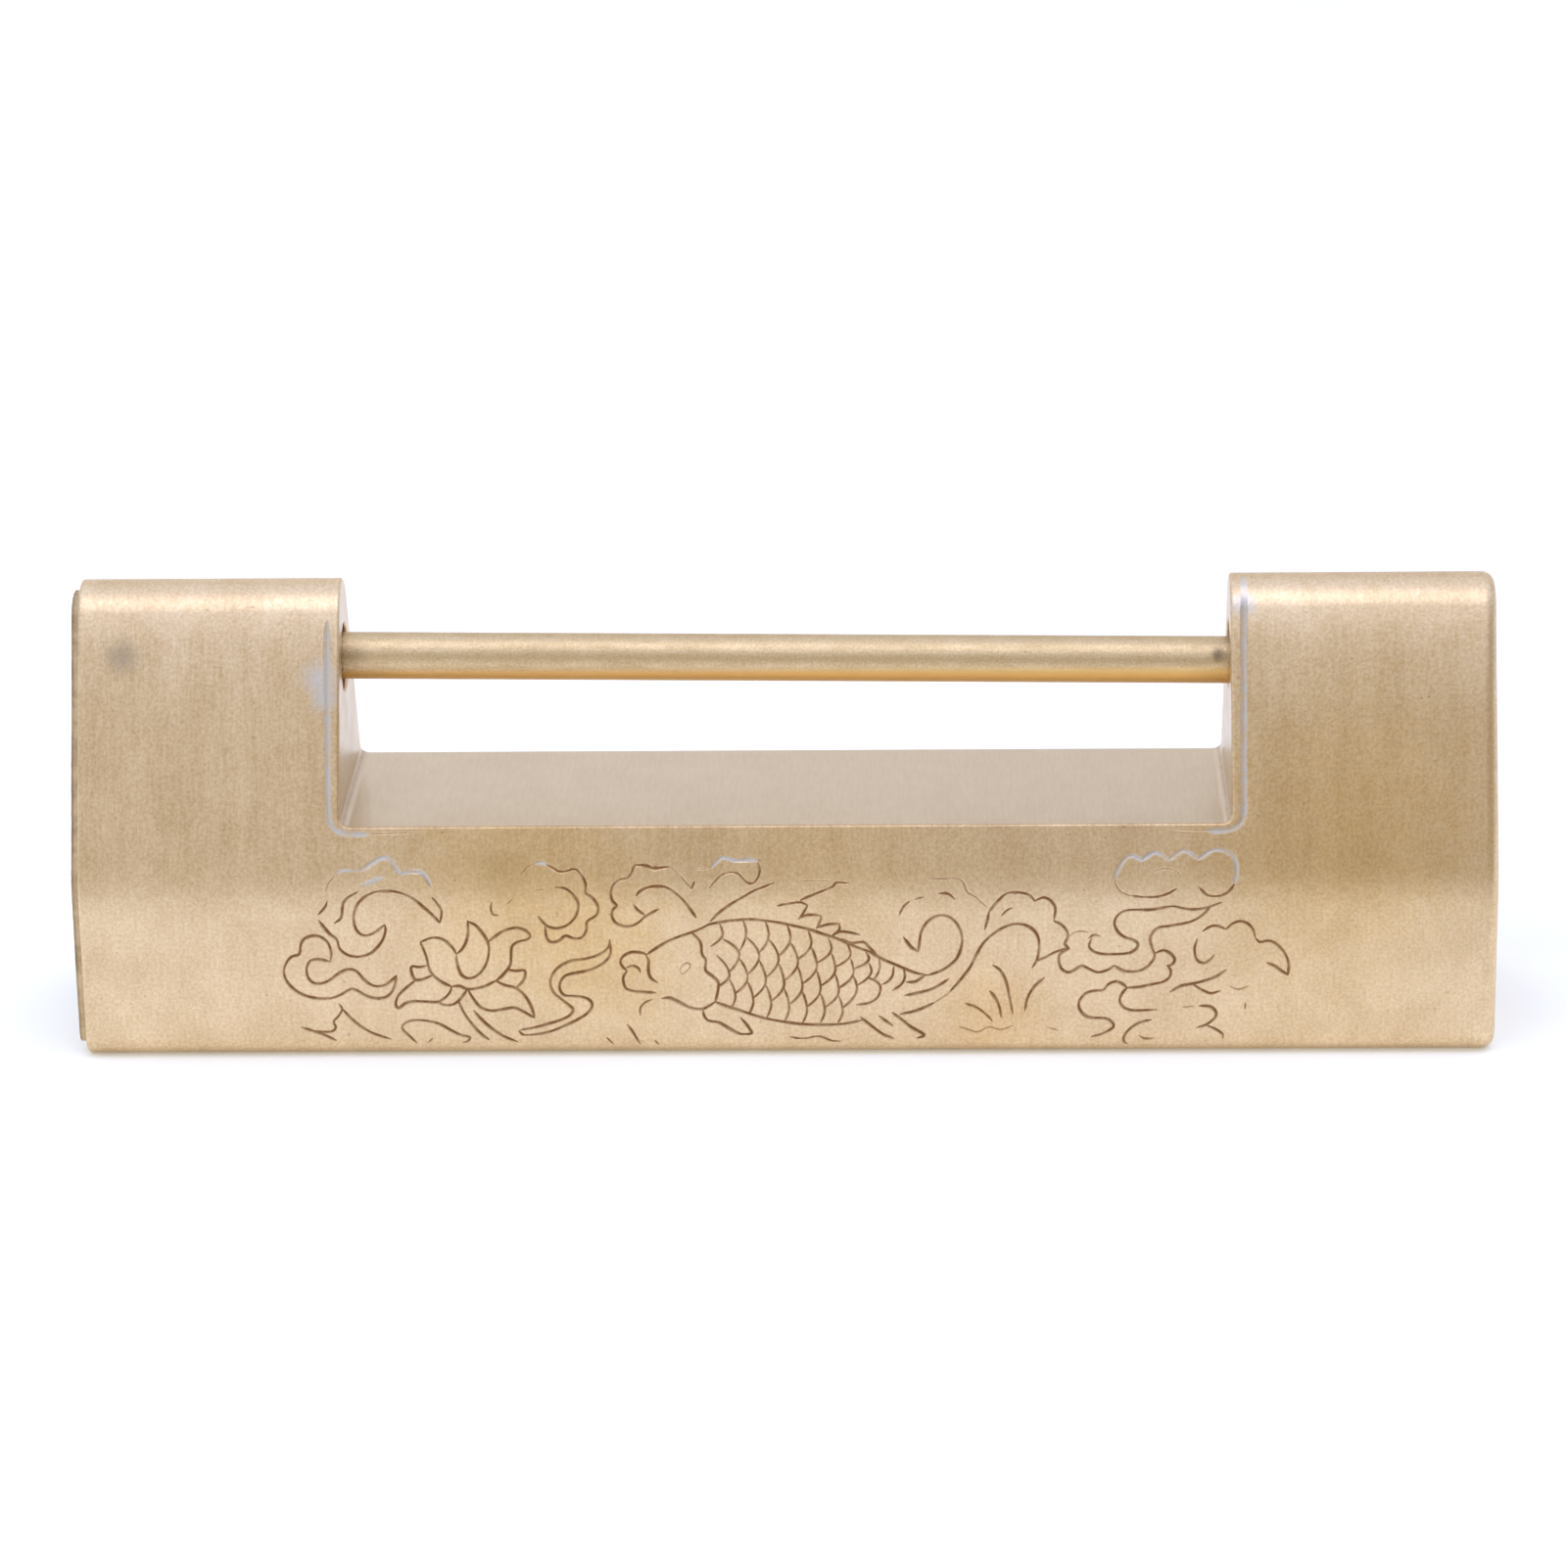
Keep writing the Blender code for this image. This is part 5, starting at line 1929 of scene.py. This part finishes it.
# Shares of the effects in tone, roughness and relief. Fades are in metres, and COVERED is a fade's two ends.
RUBBED_TONE = 1.1
PIT_TONE = 0.3
STREAK_ROUGHNESS = 0.1
PATCH_ROUGHNESS = 0.06
LINE_ROUGHNESS = 0.2
LINE_DIRT = 0.4
STREAK_HEIGHT = 0.45
PIT_DEPTH = 1.5
HAIR_DEPTH = 0.3
END_FADE = (-1e-4, 2e-4)
REFLECTED_BRASS_FADE = 6e-4
COVERED = (0.9, 0.0)


@dataclass(frozen=True)
class Look:
    """What a finish feeds to its shader, each a socket or a number.

    Attributes:
        colour: Colour of the metal.
        roughness: Its roughness.
        height: Height of its relief, from 0 to about 1.
        metallic: Share of bare metal.
    """

    colour: object
    roughness: object
    height: object
    metallic: object = 1.0


@dataclass(frozen=True)
class BrassFinish:
    """How one brass surface was worked.

    A tone says how much an effect changes the colour. Fineness counts brush lines, and mottle_size patches,
    in a metre. The turn streak_axis brings the brushing on to the piece's own direction. The metal is darker
    towards the end before a set place along the lock, and painted with a reflection of the brass beneath
    below a height, both in metres, or nowhere if they are 0.
    """

    name: str
    light: Colour
    dark: Colour
    roughness: float
    streak_axis: Triple = (0.0, 0.0, 0.0)
    fineness: float = 5000.0
    streak_tone: float = 0.35
    band_share: float = 0.7
    mottle_tone: float = 0.35
    mottle_size: float = 260.0
    grain_tone: float = 0.4
    hair_tone: float = 0.1
    darkened_end: float = 0.0
    # Height and colour of a painted reflection of the brass beneath, on the underside.
    reflected_brass_below: float = 0.0
    reflected_brass: Colour = (0.76, 0.485, 0.165)
    relief: float = 4e-6
    pitting: float = 0.3
    stains: tuple[Stain, ...] = ()

    def material(self, effects: Effects) -> Material:
        """Make the material.

        Args:
            effects: The shared groups.

        Returns:
            The material.
        """
        made = bpy.data.materials.new(self.name)
        made.use_nodes = True
        graph = Graph(made.node_tree)
        shader = made.node_tree.nodes["Principled BSDF"]
        look = self.surface(graph, effects, graph.add("ShaderNodeTexCoord").outputs["Object"])
        bump = graph.add("ShaderNodeBump", {"Strength": 1.0, "Distance": self.relief, "Height": look.height})
        graph.put(shader.inputs["Base Color"], look.colour)
        graph.put(shader.inputs["Roughness"], look.roughness)
        graph.put(shader.inputs["Metallic"], look.metallic)
        graph.put(shader.inputs["Normal"], bump.outputs["Normal"])
        return made

    def brushed(self, graph: Graph, height: Socket) -> object:
        """Strength of the brushing: the same at every height."""
        return 1.0

    def surface(self, graph: Graph, effects: Effects, place: Socket) -> Look:
        """Worked metal: light to dark by brushing, handling and grain, then scratches, pits, a darker end, a
        painted reflection of brass below a height, and stains.

        Args:
            graph: The material's tree.
            effects: The shared groups.
            place: Object coordinates.

        Returns:
            Its look.
        """
        x, _, z = graph.parts(place)
        feeds = {"Place": graph.stretch(place, turn=self.streak_axis), "Fineness": self.fineness}
        brush = graph.add("ShaderNodeGroup", feeds, node_tree=effects.brushing).outputs
        feeds = {"Place": place, "Size": self.mottle_size}
        mottle = graph.add("ShaderNodeGroup", feeds, node_tree=effects.mottling).outputs
        hairs = graph.add("ShaderNodeGroup", {"Place": place}, node_tree=effects.hairlines)
        hair = hairs.outputs["Scratches"]
        strength = self.brushed(graph, z)
        streaks = graph.plus(brush["Streaks"], graph.times(brush["Bands"], self.band_share))
        streaks = graph.times(graph.times(streaks, strength), self.streak_tone)
        patches = graph.times(mottle["Patches"], self.mottle_tone)
        dull = graph.plus(graph.plus(streaks, patches), graph.times(mottle["Grain"], self.grain_tone))
        colour = graph.mix(dull, self.light, self.dark)
        rubbed = tuple(min(1.0, RUBBED_TONE * value) for value in self.light)
        colour = graph.mix(graph.times(hair, self.hair_tone), colour, rubbed)
        deep = tuple(PIT_TONE * value for value in self.dark)
        colour = graph.mix(graph.times(mottle["Pits"], self.pitting), colour, deep)
        # Darker towards the outer end along the lock, in patches.
        if self.darkened_end < 0:
            low, high = (self.darkened_end + fade for fade in END_FADE)
            end = graph.span(x, low, high, COVERED)
            patchy = graph.span(graph.noise(place, 320.0, detail=5.0), 0.25, 0.7, (0.45, 0.95))
            colour = graph.mix(graph.times(end, patchy), colour, self.dark)
        # Painted reflection: below a height the colour of the brass beneath is laid on, as the underside
        # would reflect it.
        if self.reflected_brass_below > 0:
            under = graph.span(z, self.reflected_brass_below - REFLECTED_BRASS_FADE, self.reflected_brass_below, COVERED)
            colour = graph.mix(under, colour, self.reflected_brass)
        for stain in self.stains:
            feeds = {"Place": place, "Middle": stain.middle, "Radius": stain.radius}
            spot = graph.add("ShaderNodeGroup", feeds, node_tree=effects.spot).outputs["Mask"]
            colour = graph.mix(graph.times(spot, stain.strength), colour, stain.colour, stain.laid.value)
        roughness = graph.times(brush["Streaks"], STREAK_ROUGHNESS)
        roughness = graph.plus(roughness, self.roughness - STREAK_ROUGHNESS / 2)
        roughness = graph.plus(roughness, graph.times(mottle["Patches"], PATCH_ROUGHNESS))
        height = graph.times(brush["Streaks"], graph.times(strength, STREAK_HEIGHT))
        height = graph.plus(height, mottle["Grain"])
        height = graph.math("SUBTRACT", height, graph.times(mottle["Pits"], PIT_DEPTH))
        height = graph.math("SUBTRACT", height, graph.times(hair, HAIR_DEPTH))
        return Look(colour, roughness, height)


@dataclass(frozen=True)
class EngravedFinish(BrassFinish):
    """Brass of the case, with dirt in its engraving, a calm cast of dust and painted sheen in its notch and
    a few stains.

    Line is the colour of the dirt, worn that of the seam and of lines rubbed almost bare. The brushing grows
    strong between the heights brushed_from and is rubbed smooth again between rubbed_from, in metres.
    """

    line: Colour = (0.25, 0.115, 0.035)
    worn: Colour = (0.60, 0.56, 0.52)
    # Colour of the notch's floor and cheeks: partly dust, partly a painted sheen of the bright room behind.
    notch_dust_and_sheen: Colour = (0.685, 0.565, 0.42)
    notch_dust_and_sheen_share: float = 0.85
    brushed_from: Pair = (0.0105, 0.0135)
    rubbed_from: Pair = (0.0255, 0.0282)

    def brushed(self, graph: Graph, height: Socket) -> object:
        """Strength of the brushing: it grows above the shoulder and fades on the ridge.

        Args:
            graph: The material's tree.
            height: Height above the floor.

        Returns:
            The strength.
        """
        rise = graph.span(height, *self.brushed_from, (0.35, 1.0))
        return graph.times(rise, graph.span(height, *self.rubbed_from, (1.0, 0.25)))

    def surface(self, graph: Graph, effects: Effects, place: Socket) -> Look:
        """Worked metal with the notch's dust and painted sheen and the engraving's colours, by the marks of
        the mesh.

        Args:
            graph: The material's tree.
            effects: The shared groups.
            place: Object coordinates.

        Returns:
            Its look.
        """
        plain = super().surface(graph, effects, place)
        notch_dust_and_sheen, worn, cut = (
            graph.add("ShaderNodeAttribute", attribute_name=name).outputs["Fac"]
            for name in ("notch_dust_and_sheen", "worn_line", "engraved")
        )
        # Painted sheen, partly dust: the notch's floor and cheeks take a calmer, greyer colour.
        colour = graph.mix(graph.times(notch_dust_and_sheen, self.notch_dust_and_sheen_share), plain.colour, self.notch_dust_and_sheen)
        patchy = graph.noise(place, 1300.0, detail=3.0)
        worn = graph.times(graph.span(worn, 0.05, 0.5), graph.span(patchy, 0.35, 0.6, (0.5, 1.0)))
        colour = graph.mix(worn, colour, self.worn)
        dark = graph.times(graph.span(cut, 0.05, 0.62), graph.span(patchy, 0.38, 0.66, (1.0, 0.62)))
        roughness = graph.plus(plain.roughness, graph.times(dark, LINE_ROUGHNESS))
        metallic = graph.math("SUBTRACT", 1.0, graph.times(dark, LINE_DIRT))
        return Look(graph.mix(dark, colour, self.line), roughness, plain.height, metallic)


CASE_BRASS = EngravedFinish(
    "case_brass",
    light=(0.85, 0.665, 0.44),
    dark=(0.59, 0.415, 0.225),
    roughness=0.33,
    streak_tone=0.3,
    mottle_tone=0.24,
    grain_tone=0.48,
    stains=(
        Stain((-0.0416, -0.0033, 0.0252), 0.0017, 0.6, (0.33, 0.26, 0.19)),
        Stain((-0.0292, -0.0038, 0.0238), 0.0017, 0.8, (0.62, 0.59, 0.57)),
        Stain((-0.0289, -0.0042, 0.0226), 0.0013, 0.8, (0.62, 0.59, 0.57)),
        Stain((-0.0177, -0.0082, 0.0128), 0.0026, 0.3, (0.44, 0.29, 0.13)),
        Stain((0.0291, -0.0021, 0.0279), 0.0012, 0.85, (0.60, 0.57, 0.54)),
        Stain((0.0132, -0.0088, 0.0030), 0.0050, 0.50, (0.86, 0.72, 0.48), Laid.TINT),
        Stain((-0.0162, -0.0085, 0.0120), 0.0120, 0.65, (0.95, 0.865, 0.62), Laid.TINT),
        Stain((-0.0110, -0.0087, 0.0070), 0.0080, 0.45, (0.95, 0.865, 0.62), Laid.TINT),
        Stain((0.0020, -0.0082, 0.0140), 0.0130, 0.35, (0.95, 0.865, 0.62), Laid.TINT),
        Stain((0.0350, -0.0085, 0.0120), 0.0140, 0.55, (0.95, 0.865, 0.62), Laid.TINT),
        Stain((0.0370, -0.0065, 0.0190), 0.0130, 0.40, (0.95, 0.865, 0.62), Laid.TINT),
    ),
)
BAR_BRASS = BrassFinish(
    "bar_brass",
    light=(0.735, 0.57, 0.35),
    dark=(0.51, 0.355, 0.175),
    roughness=0.34,
    # Below this height the bar's underside is painted with a reflection of the brass beneath it.
    reflected_brass_below=0.02375,
    stains=(
        Stain((0.0276, -0.0014, 0.0244), 0.0008, 0.85, (0.16, 0.11, 0.07)),
        Stain((-0.0272, -0.0014, 0.0246), 0.0013, 0.45, (0.30, 0.21, 0.12)),
    ),
    streak_axis=(0.0, QUARTER, 0.0),
    streak_tone=0.14,
    mottle_tone=0.2,
    mottle_size=420.0,
    grain_tone=0.55,
    relief=7e-6,
)
PLATE_BRASS = BrassFinish(
    "plate_brass",
    light=(0.74, 0.55, 0.32),
    dark=(0.46, 0.30, 0.15),
    roughness=0.42,
    streak_axis=(0.0, 0.0, QUARTER),
    fineness=2500.0,
    relief=8e-6,
)
RAW_BRASS = BrassFinish(
    "raw_brass",
    light=(0.93, 0.73, 0.45),
    dark=(0.20, 0.12, 0.055),
    roughness=0.5,
    darkened_end=-0.0449,
    streak_tone=0.12,
    grain_tone=0.15,
    streak_axis=(0.0, 0.0, QUARTER),
    fineness=1800.0,
    mottle_size=900.0,
    relief=2e-5,
)
SPRING_BRONZE = BrassFinish(
    "spring_bronze",
    light=(0.66, 0.46, 0.24),
    dark=(0.30, 0.18, 0.08),
    roughness=0.36,
    streak_axis=(0.0, QUARTER, 0.0),
    fineness=4000.0,
    mottle_tone=0.5,
)
RIVET_BRASS = BrassFinish(
    "rivet_brass",
    light=(0.72, 0.53, 0.29),
    dark=(0.40, 0.26, 0.12),
    roughness=0.44,
    fineness=3000.0,
    mottle_size=900.0,
)


# Studio


@dataclass
class Studio:
    """Pale floor, soft light and the camera.

    The camera's angles are in degrees. Paper, glow and room are the colours of the floor, of its own faint
    light and of the light around, each by where it is seen from the lock.
    """

    elevation: float = 19.444
    yaw: float = -1.729
    roll: float = -0.852
    distance: float = 363.46
    target: Triple = (-0.04, 0.0, 15.295)
    focal_pixels: float = 5790.18
    image_pixels: float = 1601.0
    paper: tuple[Colour, Colour] = ((0.94, 0.93, 0.90), (0.96, 0.95, 0.92))
    near_paper: Colour = (0.84, 0.825, 0.80)
    glow_left: Colour = (0.13, 0.128, 0.12)
    glow_right: Colour = (0.06, 0.058, 0.052)
    glow_before: Colour = (0.175, 0.19, 0.175)
    room_left: Colour = (0.82, 0.82, 0.825)
    room_right: Colour = (0.43, 0.355, 0.23)
    room_behind: Colour = (0.77, 0.91, 1.2)
    room_above: Colour = (1.01, 1.1, 1.4)
    panel_colour: Colour = (0.88, 0.86, 0.97)
    panel_energy: float = 2.9
    panel_size: Pair = (1.2, 0.8)
    panel_place: Triple = (0.0, -0.35, 1.1)
    panel_tilt: float = -16.0
    floor_near: float = -2500.0
    floor_far: float = 1500.0
    floor_half: float = 3000.0
    sweep_radius: float = 600.0
    sweep_top: float = 2200.0

    def camera(self) -> None:
        """Set the camera by its elevation, yaw, roll and distance from the target."""
        lift, yaw, roll = (math.radians(value) for value in (self.elevation, self.yaw, self.roll))
        ahead = Vector((math.sin(yaw) * math.cos(lift), math.cos(yaw) * math.cos(lift), -math.sin(lift)))
        right = Vector((math.cos(yaw), -math.sin(yaw), 0))
        up = right.cross(ahead)
        across = math.cos(roll) * right + math.sin(roll) * up
        above = -math.sin(roll) * right + math.cos(roll) * up
        data = bpy.data.cameras.new("photo_camera")
        data.sensor_width = 36.0
        data.lens = self.focal_pixels / self.image_pixels * data.sensor_width
        data.clip_start = 0.01
        data.clip_end = 20.0
        made = bpy.data.objects.new("photo_camera", data)
        bpy.context.scene.collection.objects.link(made)
        turn = Matrix((across, above, -ahead)).transposed().to_4x4()
        place = (Vector(self.target) - ahead * self.distance) * MM
        made.matrix_world = Matrix.Translation(place) @ turn
        bpy.context.scene.camera = made

    def floor(self) -> None:
        """Lay a plain pale floor whose far side curves up: a quarter circle between two planes."""
        turn = np.linspace(0, QUARTER, 13)
        bend, end = self.floor_far + self.sweep_radius * np.sin(turn), self.floor_far + self.sweep_radius
        run = np.concatenate([[self.floor_near], bend, [end]])
        rise = np.concatenate([[0.0], self.sweep_radius * (1 - np.cos(turn)), [self.sweep_top]])
        points = np.empty((len(run), 2, 3))
        points[..., 0] = np.array([-self.floor_half, self.floor_half])
        points[..., 1] = run[:, None]
        points[..., 2] = rise[:, None]
        tilt = np.concatenate([[0.0], turn, [QUARTER]])
        normals = np.stack([np.zeros_like(tilt), -np.sin(tilt), np.cos(tilt)], axis=1)
        sweep = grid_patch(points, np.repeat(normals[:, None], 2, axis=1))
        Shell([sweep]).build("floor_sweep", self._paper())

    def _paper(self) -> Material:
        """Grained paper with a faint glow, stronger on the left and just before the lock.

        Returns:
            The material.
        """
        paper = bpy.data.materials.new("floor_paper")
        paper.use_nodes = True
        graph = Graph(paper.node_tree)
        shader = paper.node_tree.nodes["Principled BSDF"]
        place = graph.add("ShaderNodeTexCoord").outputs["Object"]
        x, y, _ = graph.parts(place)
        grain = graph.span(graph.noise(place, 40.0), 0.3, 0.7)
        near = graph.span(y, -0.16, -0.085)
        colour = graph.mix(near, self.near_paper, graph.mix(grain, *self.paper))
        glow = graph.mix(graph.span(x, 0.0, 0.05), self.glow_left, self.glow_right)
        glow = graph.mix(near, (0.0, 0.0, 0.0), glow)
        band = graph.times(graph.span(y, -0.03, -0.011), graph.span(y, 0.005, 0.012, (1.0, 0.0)))
        graph.put(shader.inputs["Base Color"], colour)
        graph.put(shader.inputs["Emission Color"], graph.mix(band, glow, self.glow_before))
        shader.inputs["Emission Strength"].default_value = 1.0
        shader.inputs["Roughness"].default_value = 0.9
        shader.inputs["Specular IOR Level"].default_value = 0.1
        return paper

    def light(self) -> None:
        """Soft overhead panel and a room that is dimmer in front, low down, and towards the right."""
        scene = bpy.context.scene
        scene.view_settings.view_transform = "Standard"
        scene.view_settings.look = "None"
        world = bpy.data.worlds.new("soft_room")
        scene.world = world
        world.use_nodes = True
        graph = Graph(world.node_tree)
        x, y, z = graph.parts(graph.add("ShaderNodeTexCoord").outputs["Generated"])
        low = graph.mix(graph.span(x, -0.13, 0.13), self.room_left, self.room_right)
        low = graph.mix(graph.span(y, -0.6, 0.5), low, self.room_behind)
        background = world.node_tree.nodes["Background"]
        graph.put(background.inputs["Color"], graph.mix(graph.span(z, 0.28, 0.8), low, self.room_above))
        background.inputs["Strength"].default_value = 1.0
        panel = bpy.data.lights.new("overhead_panel", "AREA")
        panel.shape = "RECTANGLE"
        panel.size, panel.size_y = self.panel_size
        panel.energy = self.panel_energy
        panel.color = self.panel_colour
        made = bpy.data.objects.new("overhead_panel", panel)
        made.location = self.panel_place
        made.rotation_euler = (math.radians(self.panel_tilt), 0.0, 0.0)
        scene.collection.objects.link(made)


def settle(piece: Piece, body: str, slot: str, *nodes: str) -> None:
    """Let a piece stand for its nodes and ride on its body.

    Args:
        piece: The piece.
        body: Body that carries it.
        slot: Slot of the record; not used.
        nodes: Nodes that it replaces.
    """
    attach(piece, body)
    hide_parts(*nodes)
    log.info("%s rides on %s", piece.name, body)


def main() -> None:
    """Build the studio and every piece."""
    logging.basicConfig(level=logging.INFO, format="%(name)s: %(message)s")
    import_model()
    studio = Studio()
    studio.camera()
    studio.floor()
    studio.light()
    effects = Effects()
    raw = RAW_BRASS.material(effects)
    plate = PLATE_BRASS.material(effects)
    bronze = SPRING_BRONZE.material(effects)
    rivet = RIVET_BRASS.material(effects)
    settle(LockCase().build(CASE_BRASS.material(effects)), "case", "case_brass", "lock_body")
    settle(ShackleBar().build(BAR_BRASS.material(effects)), "bolt", "bar_brass", "shackle_bar")
    plates = ClosingPlates()
    settle(plates.bolt_end(raw), "bolt", "raw_brass", "bolt_end_plate")
    settle(plates.throat(plate), "case", "plate_brass", "throat_plate")
    settle(plates.keyhole(plate), "case", "plate_brass", "keyhole_plate")
    bolt = SpringBolt()
    settle(bolt.stem(raw), "bolt", "raw_brass", "spring_stem")
    settle(bolt.leaf("front_leaf_strip", -1.0, bronze), "front_leaf", "spring_bronze", "front_leaf_spring")
    settle(bolt.leaf("back_leaf_strip", 1.0, bronze), "back_leaf", "spring_bronze", "back_leaf_spring")
    settle(bolt.rivet("upper_rivet", 1.0, rivet), "bolt", "rivet_brass", "upper_leaf_rivet")
    settle(bolt.rivet("lower_rivet", -1.0, rivet), "bolt", "rivet_brass", "lower_leaf_rivet")


if __name__ == "__main__":
    main()
